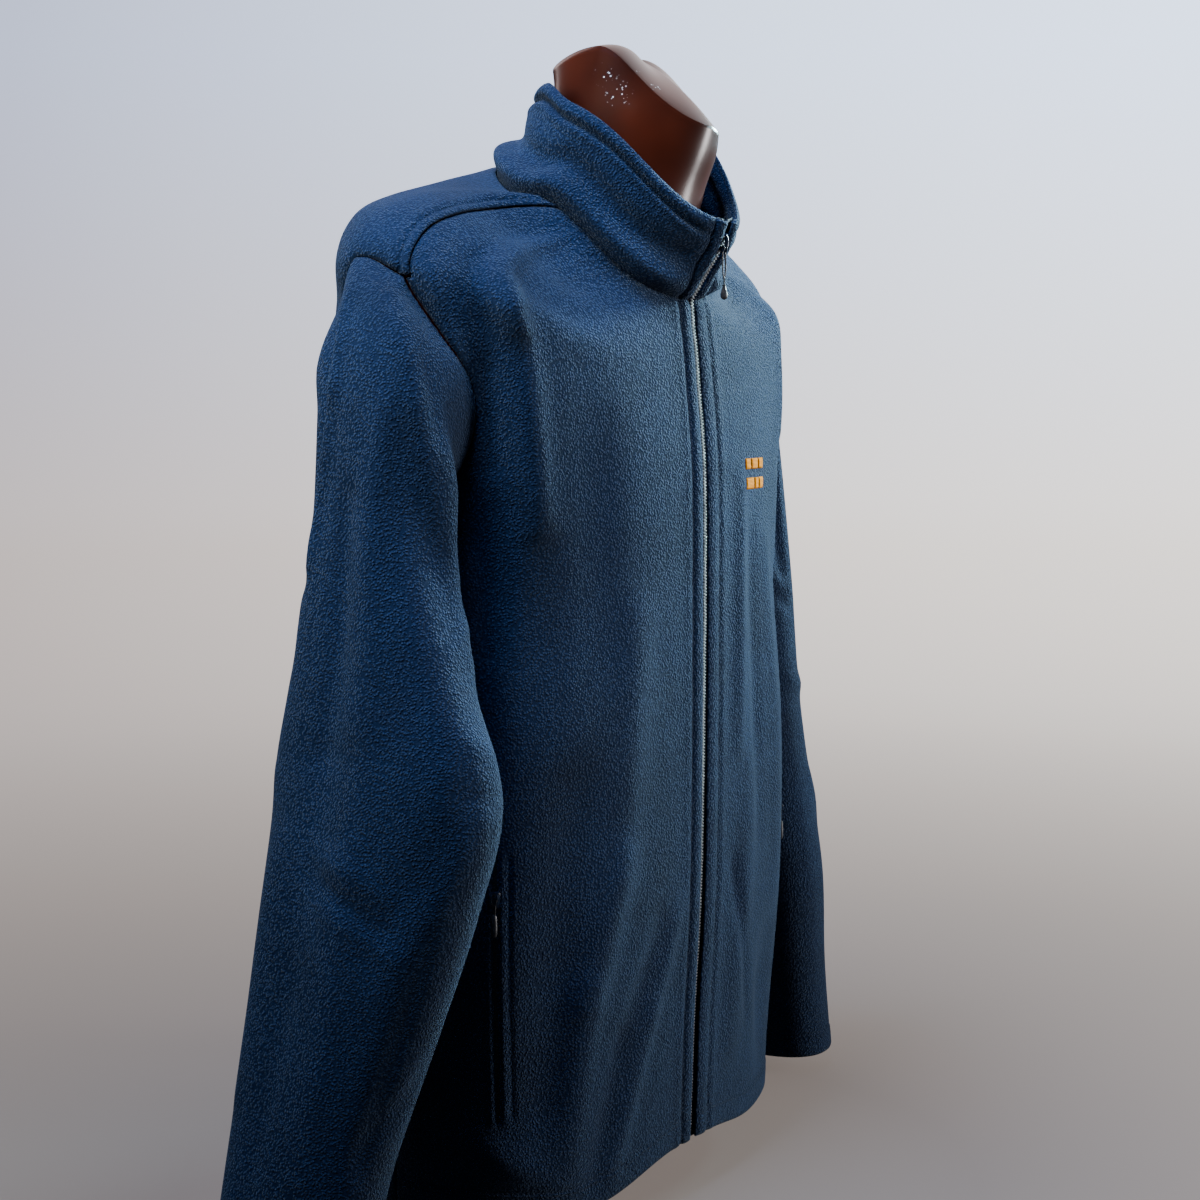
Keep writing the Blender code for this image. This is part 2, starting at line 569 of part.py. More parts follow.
# ---------------------------------------------------------------- sliders and pulls
PIN_RADIUS, RING_IN, RING_OUT, RING_THICK = 0.0008, 0.00115, 0.0022, 0.0018
PIN_HEIGHT, PIN_UP = 0.0052, 0.0025


def slider(name, place, across, up, out, half_length=0.0055, pin_up=PIN_UP):
    """A slider lying on a zip: a low body with two lugs and a pin across them."""
    def plate(bm):
        box_mesh(bm, (-0.0040, -half_length, 0.0003), (0.0040, half_length, 0.0022))

    def lug(x0, x1):
        return lambda bm: box_mesh(bm, (x0, pin_up - 0.0015, 0.0018), (x1, pin_up + 0.0015, 0.0064))

    obj = solid_of(plate, name)
    lugs = [solid_of(lug(-0.0024, -0.0013), "lug"), solid_of(lug(0.0013, 0.0024), "lug")]

    def pin(bm):
        for v in rod_mesh(bm, PIN_RADIUS, -0.0020, 0.0020):
            v.co.y += pin_up
            v.co.z += PIN_HEIGHT

    combine(obj, lugs + [solid_of(pin, "pin")])
    for v in obj.data.vertices:
        v.co = place + across * v.co.x + up * v.co.y + out * v.co.z
    obj.data.materials.clear()
    obj.data.materials.append(slider_metal)
    return place + up * pin_up + out * PIN_HEIGHT


# Distance below the hinge and radius, down a hanging pull.
PULL_SHAPES = {
    "cord": [(0.0017, 0.0007), (0.0040, 0.0008), (0.0215, 0.0008), (0.0225, 0.0012), (0.0250, 0.0019), (0.0290, 0.0027), (0.0325, 0.0024), (0.0348, 0.0012)],
    "short": [(0.0017, 0.0007), (0.0040, 0.0008), (0.0120, 0.0008), (0.0126, 0.0014), (0.0160, 0.0019), (0.0240, 0.0019), (0.0272, 0.0014)],
}


def pull(name, hinge, across, shape):
    """A ring round the slider's pin, with a cord and a bead hanging straight down from it."""
    def ring(bm):
        rod_mesh(bm, RING_OUT, -RING_THICK / 2, RING_THICK / 2, 32)

    def hole(bm):
        rod_mesh(bm, RING_IN, -0.01, 0.01, 32)

    def spindle(bm):
        loops = []
        for down, radius in PULL_SHAPES[shape]:
            made = bmesh.ops.create_circle(bm, cap_ends=False, radius=radius, segments=14)["verts"]
            for v in made:
                v.co.z = -down
            loops.append(made)
        for a, b in zip(loops, loops[1:]):
            for k in range(14):
                bm.faces.new((a[k], a[(k + 1) % 14], b[(k + 1) % 14], b[k]))
        bm.faces.new(loops[0])
        bm.faces.new(loops[-1])

    obj = combine(solid_of(ring, name), [solid_of(spindle, "spindle")])
    combine(obj, [solid_of(hole, "hole")], "DIFFERENCE")
    forward = np.cross((0, 0, 1), np.array(across))
    for v in obj.data.vertices:
        x, y, z = v.co
        v.co = np.array(hinge) + np.array(across) * x + forward * y + np.array((0, 0, 1)) * z
    obj.data.materials.clear()
    obj.data.materials.append(cord_black)
    return obj


MAIN_SLIDER_DOWN = 0.015  # below the collar's top, along the zip
MAIN_SLIDER_HALF, MAIN_PIN_UP = 0.0065, -0.0045
top, below = Vector(chain_line[-1]), Vector(chain_line[-2])
zip_up = (top - below).normalized()
zip_out = Vector(chain_out[-1]).normalized()
main_place = Vector((0, top.y, top.z)) - zip_up * MAIN_SLIDER_DOWN - zip_out * float(chain_sink[-1])
main_hinge = slider("main_zip_slider", main_place, Vector((1, 0, 0)), zip_up, zip_out, MAIN_SLIDER_HALF, MAIN_PIN_UP)
pull("main_zip_pull", main_hinge, (1, 0, 0), "cord")

# Each pocket zip lies on one column of its front panel, so it keeps to the cloth's own facets.
POCKET_SLIDER_ROW = 5.45
for side, word in ((RIGHT, "right"), (LEFT, "left")):
    panel = panel_grid(front_a[side], side, 0.0)
    a, b = POCKET_COLUMNS
    patch = panel[POCKET_ROWS[0] : POCKET_ROWS[1] + 1, a : b + 1]
    normal = np.stack([normal_of(body, rows[POCKET_ROWS[0] : POCKET_ROWS[1] + 1], front_a[side][POCKET_ROWS[0] : POCKET_ROWS[1] + 1, c], side) for c in (a, b)], 1)
    cloth_wall(f"pocket_zip_{word}", patch + normal * (SEAM_GAP + POCKET_ZIP_THICK), patch + normal * SEAM_GAP, tape_cloth)
    k = int(POCKET_SLIDER_ROW) - POCKET_ROWS[0]
    part_way = POCKET_SLIDER_ROW - int(POCKET_SLIDER_ROW)
    face = (patch + normal * (SEAM_GAP + POCKET_ZIP_THICK)).mean(1)
    low, high = Vector(face[k]), Vector(face[k + 1])
    up = (high - low).normalized()
    level = normal[k].mean(0) * (1 - part_way) + normal[k + 1].mean(0) * part_way
    out = Vector((level[0], level[1], 0)).normalized()
    across = Vector((0, 0, 1)).cross(out).normalized()
    up = out.cross(across).normalized()
    place = low.lerp(high, part_way) + out * 0.0001
    hinge = slider(f"pocket_slider_{word}", place, across, up, out)
    pull(f"pocket_pull_{word}", hinge, across, "short")

# ---------------------------------------------------------------- dress form
FORM_EASE = [0.0120, 0.0120, 0.0130, 0.0140, 0.0110, 0.0095, 0.0080, 0.0060, 0.0030, 0.0006, 0.0006, 0.0008, 0.0020, 0.0042]
ZIP_EASE = 0.0020  # further in behind the zip
NECK_RINGS = [
    ("root", 0.6570, 0.730, 0.758, 0.0660, -0.0960, -0.038, 0.0160, 2.0, 1.5),
    ("low", 0.6920, 0.754, 0.780, 0.0600, -0.1040, -0.044, 0.0060, 2.0, 1.2),
    ("middle", 0.7270, 0.772, 0.796, 0.0560, -0.1130, -0.052, -0.0040, 2.0, 1.0),
    ("high", 0.7540, 0.799, 0.806, 0.0510, -0.1240, -0.060, -0.0035, 2.0, 0.5),
    ("edge", 0.7720, 0.829, 0.818, 0.0430, -0.1290, -0.060, 0.0008, 2.0, 0.01),
]
RIM_LEAN = 0.38  # how much lower the top is per metre towards the left
DOME_HEIGHT = 0.015
BASE_RINGS = [
    ("foot_base", 0.0, 0.0, 0.0, 0.110, -0.048, 0.012, 0.075, 2.2, 1.0),
    ("foot_top", 0.0260, 0.0260, 0.0260, 0.108, -0.046, 0.012, 0.073, 2.2, 1.0),
    ("under", 0.0290, 0.0280, 0.0280, 0.172, -0.080, 0.005, 0.092, 2.4, 1.0),
    ("edge", 0.0340, 0.0320, 0.0320, 0.184, -0.092, 0.005, 0.103, 2.5, 1.0),
]
form_rows = np.concatenate([[0.12, 0.4, 0.8, 1.3, 1.8, 2.3, 2.8, 3.3, 3.8, 4.3, 4.8, 5.3, 5.8, 6.4, 7.0, 7.5], rows[rows >= TIP]])


def form_angles(s, side):
    """The panels' own angles from the armhole up, and the same spacing kept below it."""
    k = yoke_row if s < TIP else int(np.argmin(np.abs(rows - s)))
    _, front_end, back_inner, back_outer = panels[side]
    front = front_angles(front_end[k], first_angle[k])
    return np.concatenate([[0.0], front[1:], back_angles(back_inner[k], back_outer[k])[::-1][1:]])


def round_ring(make):
    """A whole ring, right half then left half."""
    right, left = make(RIGHT), make(LEFT)
    return np.concatenate([right, left[1:-1][::-1]])


form = []
for row in BASE_RINGS:
    size = dict(zip(BODY_COLUMNS, row))
    form.append(round_ring(lambda side: ring_point(size, form_angles(0, side), side)))
for s in form_rows:

    def make(side):
        angle = form_angles(s, side)
        sink = CLOTH + spline(FORM_EASE, s) + ZIP_EASE * np.clip(1 - (angle - 8) / 8, 0, 1)
        p = body_base(s, angle, side)
        n = normal_of(body_base, s, np.clip(angle, 0.2, 179.8), side)
        ends = (angle < 0.3) | (angle > 179.7)
        n[ends, 0] = 0
        return p - n * sink[:, None]

    form.append(round_ring(make))
for row in NECK_RINGS:
    size = dict(zip(BODY_COLUMNS, row))
    form.append(round_ring(lambda side: ring_point(size, form_angles(NECK, side), side)))
for ring, part_way in ((form[-2], 0.4), (form[-1], 1.0)):
    ring[:, 2] -= RIM_LEAN * part_way * np.clip(ring[:, 0], 0, None)
rim = form[-1]
middle = rim.mean(0)
lean = Vector(rim[0] - rim[len(rim) // 2]).normalized()
dome_up = np.array(Vector((1, 0, 0)).cross(lean).normalized())
dome_up = dome_up * np.sign(dome_up[2])
for share in (0.955, 0.88, 0.76, 0.58, 0.36, 0.15):
    form.append(middle + (rim - middle) * share + dome_up * DOME_HEIGHT * (1 - share**2))

bm = bmesh.new()
loops = [[bm.verts.new(p) for p in ring] for ring in form]
count = len(loops[0])
for low, high in zip(loops, loops[1:]):
    for k in range(count):
        a, b, c, d = low[k], low[(k + 1) % count], high[(k + 1) % count], high[k]
        if k < count - len(FRONT_SHARES) + 1:
            bm.faces.new((a, b, c))
            bm.faces.new((a, c, d))
        else:
            bm.faces.new((b, d, a))
            bm.faces.new((b, c, d))
bm.faces.new(loops[0])
tip = bm.verts.new(middle + dome_up * DOME_HEIGHT)
for k in range(count):
    bm.faces.new((loops[-1][k], loops[-1][(k + 1) % count], tip))
bmesh.ops.recalc_face_normals(bm, faces=bm.faces[:])
finish("dress_form", bm, form_gloss)

# The torso form was drawn about its own middle; the part's origin is central under its whole outline.
CENTRE_Y = 0.0081
for obj in bpy.data.objects:
    for v in obj.data.vertices:
        v.co.y += CENTRE_Y
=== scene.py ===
import json
import math

import bmesh
import bpy
import numpy as np
from mathutils import Matrix, Vector


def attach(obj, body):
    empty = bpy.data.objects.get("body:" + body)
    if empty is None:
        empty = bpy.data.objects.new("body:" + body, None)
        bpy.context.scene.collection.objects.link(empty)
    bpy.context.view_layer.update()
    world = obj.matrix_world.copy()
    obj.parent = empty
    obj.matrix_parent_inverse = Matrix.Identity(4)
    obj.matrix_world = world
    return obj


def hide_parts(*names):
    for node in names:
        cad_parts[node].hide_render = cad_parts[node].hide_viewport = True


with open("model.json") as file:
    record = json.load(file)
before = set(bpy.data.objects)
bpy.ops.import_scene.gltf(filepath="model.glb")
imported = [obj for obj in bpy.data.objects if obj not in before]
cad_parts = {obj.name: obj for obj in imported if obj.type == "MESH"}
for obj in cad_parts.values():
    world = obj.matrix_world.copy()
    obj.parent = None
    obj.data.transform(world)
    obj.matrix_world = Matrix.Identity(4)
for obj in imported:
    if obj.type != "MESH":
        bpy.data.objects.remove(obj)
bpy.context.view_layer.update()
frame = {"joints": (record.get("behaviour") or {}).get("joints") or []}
print("frame loaded")

right, left = -1, 1  # the wearer's sides, -X and +X
shiftY = 0.0081  # the torso's middle lies this far behind the origin
sideWords = {right: "Right", left: "Left"}
fleece = {
    "thick": 0.0022, "collarThick": 0.0036,
    "zipEdge": {right: 0.0026, left: 0.0046},  # how far each front edge stops from the middle
    "gap": 0.0002,
}

# Tables of shapes are in millimetres and degrees.
# Each ring: front z, side z, back z, half width, front y, side y, back y, squareness, drop.
torsoForm = {
    "rings": {
        "hem": (43, 34, 36, 203, -109, 5, 122, 2.5, 1), "hip": (120, 118, 120, 206, -114, 5, 126, 2.6, 1),
        "highHip": (220, 220, 220, 208, -118, 4, 122, 2.8, 1),
        "waist": (330, 330, 330, 206, -120, 2, 112, 2.8, 1), "rib": (440, 440, 440, 203, -121, 0, 110, 2.4, 1),
        "chest": (525, 520, 530, 202, -121, 0, 111, 2.4, 1),
        "armscye": (562, 583, 600, 207, -119, 0, 107, 2.4, 1.5),
        "blade": (588, 635, 655, 214.5, -116.5, 1, 99, 2.3, 2),
        "shoulderTip": (608, 678, 695, 222, -115, 6, 90, 2.2, 3),
        "shoulder": (623, 708, 720, 199, -113.5, 10, 86, 2.2, 4),
        "midShoulder": (634, 722, 736, 166, -112, 6, 74, 2.2, 4),
        "nearNeck": (643, 727, 745, 130, -111.5, -2, 60, 2.2, 4),
        "neckBase": (649, 727, 751, 101, -111, -19, 47, 2.1, 3),
        "neckSeam": (653, 724, 756, 84, -111, -35, 38, 2, 2),
    },
    "underarm": 4.72, "armMiddle": 6.0, "armTop": 8.0, "neck": 13.0,
    "armReach": {right: (-18.0, 14.0), left: (-13.5, 17.0)},
    "armTopAngles": (82.0, 92.0), "capDip": 0.28,
    "shoulderSeam": [81.0, 79.3, 78.2, 78.0, 77.8, 77.4],
    "yokeWrap": 11,  # the back's two grids join this far behind that seam
    # The closed zip leans aside above the hem: how far, at what z, over what height, over what width.
    "sway": (-0.004, 0.13, 0.07, 0.055),
    # The hem hangs lower here: how far, at what angle, how wide.
    "droop": {right: (0.016, 50, 24), left: (0.004, 38, 16)},
    "arc": 0.0034,  # metres round the body for one degree
}
# Each fold: from angle, from z, to angle, to z, half width, height.
torsoFolds = {
    right: [
        (61, 670, 58, 480, 22, 3), (66.5, 684, 64.5, 632, 9, 8.5), (64.5, 640, 61, 500, 11, 7.8),
        (70, 676, 69, 540, 7, -5.6), (69.5, 600, 70, 420, 14, -4), (77, 664, 74.5, 580, 8, 9),
        (34, 430, 40, 260, 20, 3.4), (40, 265, 49, 175, 15, 4.6), (49, 180, 55, 60, 14, 4.6),
        (53, 320, 60, 110, 20, -5), (14, 220, 27, 150, 10, 2.2), (27, 152, 42, 60, 11, 3),
        (24, 215, 39, 135, 11, -2.6), (39, 137, 47, 60, 10, -2.8), (60, 62, 74, 86, 12, 3.4),
        (48, 560, 46, 400, 22, -2.2), (120, 520, 112, 200, 22, -5), (145, 560, 138, 80, 30, 4),
        (165, 300, 160, 40, 24, -4), (106, 640, 112, 520, 12, 3.6), (113, 630, 122, 470, 12, -3.6),
        (128, 300, 124, 70, 14, 3.4), (152, 260, 149, 50, 12, -3), (168, 430, 169, 200, 12, 2.6),
    ],
    left: [
        (60, 670, 58, 480, 24, 4), (74, 590, 70, 440, 18, -3.5), (46, 160, 52, 80, 26, -8),
        (30, 300, 24, 110, 20, 3.5), (25, 520, 23, 330, 12, 3), (33, 480, 36, 260, 12, -3),
        (44, 470, 50, 210, 14, 3.6), (69, 670, 66, 560, 10, -4.4), (62, 680, 60, 560, 11, 4),
        (20, 240, 34, 120, 9, -2.8), (118, 500, 108, 180, 22, -4.5), (150, 420, 146, 50, 26, 4),
        (108, 640, 115, 500, 13, 3.6), (116, 640, 126, 500, 11, -3.2), (132, 320, 127, 60, 15, -3.4),
        (162, 240, 164, 50, 11, 2.8),
    ],
}


joined = np.concatenate


def cubic(a, b, c, d, f):
    return 0.5 * (2 * b + (c - a) * f + (2 * a - 5 * b + 4 * c - d) * f**2 + (3 * b - a - 3 * c + d) * f**3)


def spline(table, at):
    v = np.asarray(table, float)
    last = len(v) - 1
    at = np.clip(np.asarray(at, float), 0, last)
    i = np.minimum(at.astype(int), last - 1)
    f = at - i
    if v.ndim > 1:
        f = f[..., None]
    pad = joined([[2 * v[0] - v[1]], v, [2 * v[-1] - v[-2]]])
    return cubic(pad[i], pad[i + 1], pad[i + 2], pad[i + 3], f)


def xyz(x, y, z):
    return np.stack([x, y, z], -1)


def within(x):
    return np.clip(x, 0, 1)


def unit(v):
    return v / np.maximum(np.linalg.norm(v, axis=-1, keepdims=True), 1e-12)


def smoothStep(low, high, x):
    t = within((x - low) / (high - low))
    return t * t * (3 - 2 * t)


def bell(x, width):
    return np.exp(-((x / width) ** 2))


def metres(table, plain):  # from millimetres, but for the last values of each row
    table = np.array(table, float)
    table[..., :-plain] /= 1000
    return table


def ringTable(rings):
    return metres(list(rings.values()), 2)


def ringPoint(size, angle, side):
    frontZ, sideZ, backZ, halfWidth, frontY, sideY, backY, square, drop = np.moveaxis(size, -1, 0)
    a = np.radians(angle)
    front = np.cos(a) > 0
    depth = np.where(front, sideY - frontY, backY - sideY)
    radius = (np.abs(np.cos(a) / depth) ** square + np.abs(np.sin(a) / halfWidth) ** square) ** (-1 / square)
    share = (1 - np.exp(-drop * np.cos(a) ** 2)) / (1 - np.exp(-drop))
    z = sideZ + (np.where(front, frontZ, backZ) - sideZ) * share
    return xyz(side * radius * np.sin(a), sideY + shiftY - radius * np.cos(a), z)


def ringSurface(rings):
    table = ringTable(rings)
    return lambda s, angle, side: ringPoint(spline(table, s), angle, side)


torsoBase = ringSurface(torsoForm["rings"])


def outwardOf(surface, s, angle, side):
    along = surface(s + 0.01, angle, side) - surface(s - 0.01, angle, side)
    around = surface(s, angle + 0.1, side) - surface(s, angle - 0.1, side)
    return unit(np.cross(around, along) * side)


def streaks(rows, angle, z, arc):
    total = np.zeros(np.broadcast(angle, z).shape)
    for a0, z0, a1, z1, wide, height in np.array(rows) / (1, 1000, 1, 1000, 1000, 1000):
        dx, dz = (a1 - a0) * arc, z1 - z0
        px, pz = (angle - a0) * arc, z - z0
        t = within((px * dx + pz * dz) / (dx**2 + dz**2))
        away = np.hypot(px - t * dx, pz - t * dz)
        total = total + height * bell(away, wide) * np.sqrt(np.sin(np.pi * (0.12 + 0.76 * t)))
    return total


def zipSway(z, x=0.0):
    far, at, high, wide = torsoForm["sway"]
    return far * bell(z - at, high) * bell(x, wide)


def torso(s, angle, side):  # points and outward directions of the jacket's body
    s, angle = np.broadcast_arrays(np.asarray(s, float), np.asarray(angle, float))
    base = torsoBase(s, angle, side)
    n = outwardOf(torsoBase, s, angle, side)
    fold = streaks(torsoFolds[side], angle, base[..., 2], torsoForm["arc"])
    fold = fold * within((angle - 3) / 10)
    points = base + n * fold[..., None]
    far, at, wide = torsoForm["droop"][side]
    points[..., 2] -= far * bell(angle - at, wide) * within((0.12 - base[..., 2]) / 0.08)
    points[..., 0] += zipSway(points[..., 2], base[..., 0])
    return points, n


def armholeTop(angle):  # the seam over the shoulder, a little lower towards the front
    return torsoForm["armTop"] - torsoForm["capDip"] * smoothStep(90, 81, angle)


def armholeEdge(t, front, side):  # t runs from 0 at the armhole's flat top to 1 at the underarm
    t = np.asarray(t, float)
    low, middle = torsoForm["underarm"], torsoForm["armMiddle"]
    k = 0 if front else 1
    reach, top = torsoForm["armReach"][side][k], torsoForm["armTopAngles"][k]
    theta = within((t - 0.5) / 0.5) * math.pi / 2
    u = within(t / 0.5)
    bend = np.sin(u * math.pi / 2) ** 1.8 if front else 1 - (1 - u) ** 1.5
    high = armholeTop(top)
    s = np.where(t < 0.5, high + (middle - high) * u, middle - (middle - low) * np.sin(theta))
    angle = np.where(t < 0.5, top + (90 + reach - top) * bend, 90 + reach * np.cos(theta))
    return s, angle


def panelRow(v, front, side):  # the ring and where the panel ends; v: 0 hem, 1 underarm, 2 armhole top, 3 neck
    v = np.asarray(v, float)
    low, neck = torsoForm["underarm"], torsoForm["neck"]
    sArm, edge = armholeEdge(within(2 - v), front, side)
    high = armholeTop(torsoForm["armTopAngles"][0 if front else 1])
    s = np.where(v < 1, v * low, np.where(v < 2, sArm, high + (v - 2) * (neck - high)))
    seam = spline(torsoForm["shoulderSeam"], s - torsoForm["armTop"]) + (0 if front else torsoForm["yokeWrap"])
    return s, np.where(v < 1, 90.0, np.where(v < 2, edge, seam))


def edgeAngle(rings, at, x):
    table = ringTable(rings)
    depth = spline(table[:, 5], at) - spline(table[:, 4], at)
    return np.degrees(np.arctan2(np.abs(x), depth))


# Each sleeve ring: inner x, inner z, outer x, outer z, y, half its depth, squareness.
sleeveForm = {
    right: {
        "cap": (209.5, 501, 246, 650, -16, 50, 2), "upper": (208.5, 476, 262, 610, -22, 47, 2),
        "bicep": (209, 446, 272, 520, -21, 46, 2.1), "aboveElbow": (212, 402, 285, 428, -31, 59, 2.2),
        "elbow": (215, 328, 300, 342, -39, 83, 2.3), "belowElbow": (231, 253, 314, 267, -32.5, 80, 2.3),
        "forearm": (251, 172, 326, 188, -21, 70, 2.3), "wrist": (273, 86, 341, 104, -8, 60, 2.3),
        "cuff": (289, 10, 355, 26, -3, 59, 2.3),
    },
    left: {
        "cap": (209.5, 501, 246, 650, 6, 50, 2), "upper": (208.5, 476, 264, 610, 8, 50, 2.2),
        "bicep": (209, 446, 274, 520, 4, 50, 2.2), "aboveElbow": (212, 402, 286, 428, 10, 60, 2.2),
        "elbow": (215, 328, 298, 342, 18, 70, 2.2), "belowElbow": (231, 253, 312, 267, 12, 66, 2.2),
        "forearm": (251, 173, 326, 187, 4, 61, 2.3), "wrist": (273, 90, 341, 100, 5, 55, 2.3),
        "cuff": (289, 14, 355, 20, 4, 52, 2.3),
    },
}
sleeveFolds = {
    right: [
        (22, 655, 56, 583, 13, 3), (56, 583, 100, 470, 13, 3.4), (50, 640, 78, 570, 12, -2.4),
        (98, 540, 118, 420, 20, 9), (-16, 680, -25, 590, 8, 4.2), (-25, 595, -44, 480, 9, 4.6),
        (-33, 670, -40, 590, 10, -5), (-40, 595, -58, 470, 11, -5), (-60, 670, -72, 440, 18, 4),
        (-48, 480, -56, 350, 26, 6.6), (-2, 520, -16, 360, 11, -4.6), (-16, 360, -17, 80, 12, -3.6),
        (30, 580, 8, 380, 14, 3.6), (8, 380, 6, 290, 12, 2.6), (6, 290, 22, 100, 13, 2.8),
        (66, 340, 30, 250, 18, -3), (118, 440, 84, 424, 8, 1.5), (104, 360, 70, 372, 9, 1.8),
        (100, 334, 60, 340, 9, -1.8), (60, 250, 62, 110, 12, -2.6), (-11, 302, 30, 276, 6, 1.2),
        (-11, 286, 35, 253, 5, -1.4), (0, 266, 42, 238, 6, 1.2), (100, 160, 60, 120, 12, -2.2),
        (-110, 430, -70, 400, 10, 2.4), (-112, 412, -74, 372, 10, -2.4), (-40, 300, -48, 140, 13, 2.6),
    ],
    left: [
        (35, 640, 45, 420, 15, 4.2), (85, 590, 95, 440, 13, -6), (20, 420, 10, 160, 16, -3.5),
        (118, 440, 84, 428, 6, 2.2), (116, 424, 80, 408, 6, -2.2), (98, 350, 62, 344, 8, 2.4),
        (40, 300, 48, 120, 11, -2.6), (-50, 560, -60, 380, 16, -4), (70, 260, 30, 200, 12, 3),
    ],
}
sleeveArc = 0.0011  # metres round the sleeve for one degree
capAngle = 20.0  # the sleeve's angle where the armhole's flat top ends


def armholePlace(psi, side):  # psi: 0 top, 90 front, 180 underarm, 270 back
    psi = np.mod(np.asarray(psi, float) + 180, 360) - 180
    t = (np.abs(psi) - capAngle) / (180 - capAngle)
    sFront, aFront = armholeEdge(within(t), True, side)
    sBack, aBack = armholeEdge(within(t), False, side)
    first, last = torsoForm["armTopAngles"]
    top = first + (last - first) * (capAngle - psi) / (2 * capAngle)
    s = np.where(t < 0, armholeTop(top), np.where(psi >= 0, sFront, sBack))
    return s, np.where(t < 0, top, np.where(psi >= 0, aFront, aBack))


def sleeveRing(size, psi, side):
    inX, inZ, outX, outZ, y, halfDepth, square = metres(size, 1)
    a = np.radians(psi)
    scale = (np.abs(np.cos(a)) ** square + np.abs(np.sin(a)) ** square) ** (-1 / square)
    out = 0.5 + 0.5 * scale * np.cos(a)
    x, z = inX + (outX - inX) * out, inZ + (outZ - inZ) * out
    return xyz(side * x, y + shiftY - halfDepth * scale * np.sin(a), z)


def sleeveBase(q, psi, side):
    q, psi = np.broadcast_arrays(np.asarray(q, float), np.asarray(psi, float))
    edge = torso(*armholePlace(psi, side), side)[0]
    rings = [sleeveRing(size, psi, side) for size in sleeveForm[side].values()]
    points = np.stack([2 * edge - rings[0], edge, *rings, 2 * rings[-1] - rings[-2]])
    i = np.clip(np.floor(q).astype(int), 0, len(points) - 4)
    near = (np.take_along_axis(points, (i + k)[None, ..., None], 0)[0] for k in range(4))
    return cubic(*near, (q - i)[..., None])


def arm(q, psi, side):  # points and outward directions of a sleeve; q: 0 armhole, 9 cuff
    q, psi = np.broadcast_arrays(np.asarray(q, float), np.asarray(psi, float))
    base = sleeveBase(q, psi, side)
    inside = np.clip(q, 0.02, 8.98)
    along = sleeveBase(inside + 0.01, psi, side) - sleeveBase(inside - 0.01, psi, side)
    around = sleeveBase(inside, psi + 0.2, side) - sleeveBase(inside, psi - 0.2, side)
    n = unit(np.cross(around, along) * side)
    s, angle = armholePlace(psi, side)
    body = outwardOf(torsoBase, s, angle, side)
    steep = within(np.sum(unit(along) * body, -1, keepdims=True) / 0.3)
    near = within(1 - q / 0.35)[..., None]
    n = unit(n * (1 - near) + unit(body + steep * n) * near)
    turn = np.mod(psi + 180, 360) - 180
    fold = streaks(sleeveFolds[side], turn, base[..., 2], sleeveArc) * within(q / 1.2)
    return base + n * fold[..., None], n


collarRings = {
    "neckSeam": torsoForm["rings"]["neckSeam"],
    "roll": (670, 741, 772, 81, -122.5, -45, 29, 2, 1.6),
    "middle": (686, 756, 787, 77, -133.5, -54, 17, 1.9, 1.1),
    "top": (706, 780, 808, 72.5, -143, -60, 6, 1.65, 0.3),
}
napeRise = (0.0185, 114, 24)  # the top edge stands higher behind the ears
collarRound = ringSurface(collarRings)


def collarBase(h, angle, side):
    points = collarRound(h, angle, side)
    height, centre, spread = napeRise
    points[..., 2] += height * bell(angle - centre, spread) * within(h / 3) ** 1.5
    return points


def stand(h, angle, side):
    h, angle = np.broadcast_arrays(np.asarray(h, float), np.asarray(angle, float))
    return collarBase(h, angle, side), outwardOf(collarBase, np.clip(h, 0.02, 2.98), angle, side)


# Materials


def feed(socket, value):  # a number, a colour or another node's output
    if isinstance(value, bpy.types.NodeSocket):
        socket.id_data.links.new(value, socket)
    else:
        socket.default_value = (*value, 1) if isinstance(value, tuple) else value


def feedAll(node, values):
    for key, value in values.items():
        feed(node.inputs[key], value)


class Finish:  # a new material, and the nodes it is made with
    def __init__(self, name, colour, roughness, metallic=0.0):
        self.material = bpy.data.materials.new(name)
        self.material.use_nodes = True
        self.material.diffuse_color = (*colour, 1)
        self.tree = self.material.node_tree
        self.shader = self.tree.nodes["Principled BSDF"]
        self.shade({"Base Color": colour, "Roughness": roughness, "Metallic": metallic})
        self.coords = self.add("TexCoord").outputs["Object"]

    def shade(self, values):
        feedAll(self.shader, values)

    def add(self, kind, vector=None, **settings):
        node = self.tree.nodes.new("ShaderNode" + kind)
        for key, value in settings.items():
            if key in node.inputs:
                node.inputs[key].default_value = value
            else:
                setattr(node, key, value)
        if vector:
            feed(node.inputs["Vector"], vector)
        return node

    def math(self, operation, a, b, clamp=False):
        node = self.add("Math", operation=operation, use_clamp=clamp)
        feed(node.inputs[0], a)
        feed(node.inputs[1], b)
        return node.outputs[0]

    def range(self, value, fromLow, fromHigh, toLow=0.0, toHigh=1.0):
        node = self.add("MapRange")
        ends = {"From Min": fromLow, "From Max": fromHigh, "To Min": toLow, "To Max": toHigh}
        feedAll(node, {"Value": value, **ends})
        return node.outputs["Result"]

    def noise(self, scale, detail=2.0, roughness=0.5):
        return self.add("TexNoise", self.coords, Scale=scale, Detail=detail, Roughness=roughness).outputs["Fac"]

    def bands(self, direction, scale, distortion):
        wave = self.add("TexWave", self.coords, wave_type="BANDS", bands_direction=direction)
        feedAll(wave, {"Scale": scale, "Distortion": distortion})
        return wave.outputs["Fac"]

    def mix(self, share, a, b, blend="MIX"):
        node = self.add("Mix", data_type="RGBA", blend_type=blend)
        for k, value in ((0, share), (6, a), (7, b)):
            feed(node.inputs[k], value)
        return node.outputs[2]

    def bump(self, height, strength, distance):
        node = self.add("Bump", Strength=strength, Distance=distance)
        feed(node.inputs["Height"], height)
        feed(self.shader.inputs["Normal"], node.outputs["Normal"])


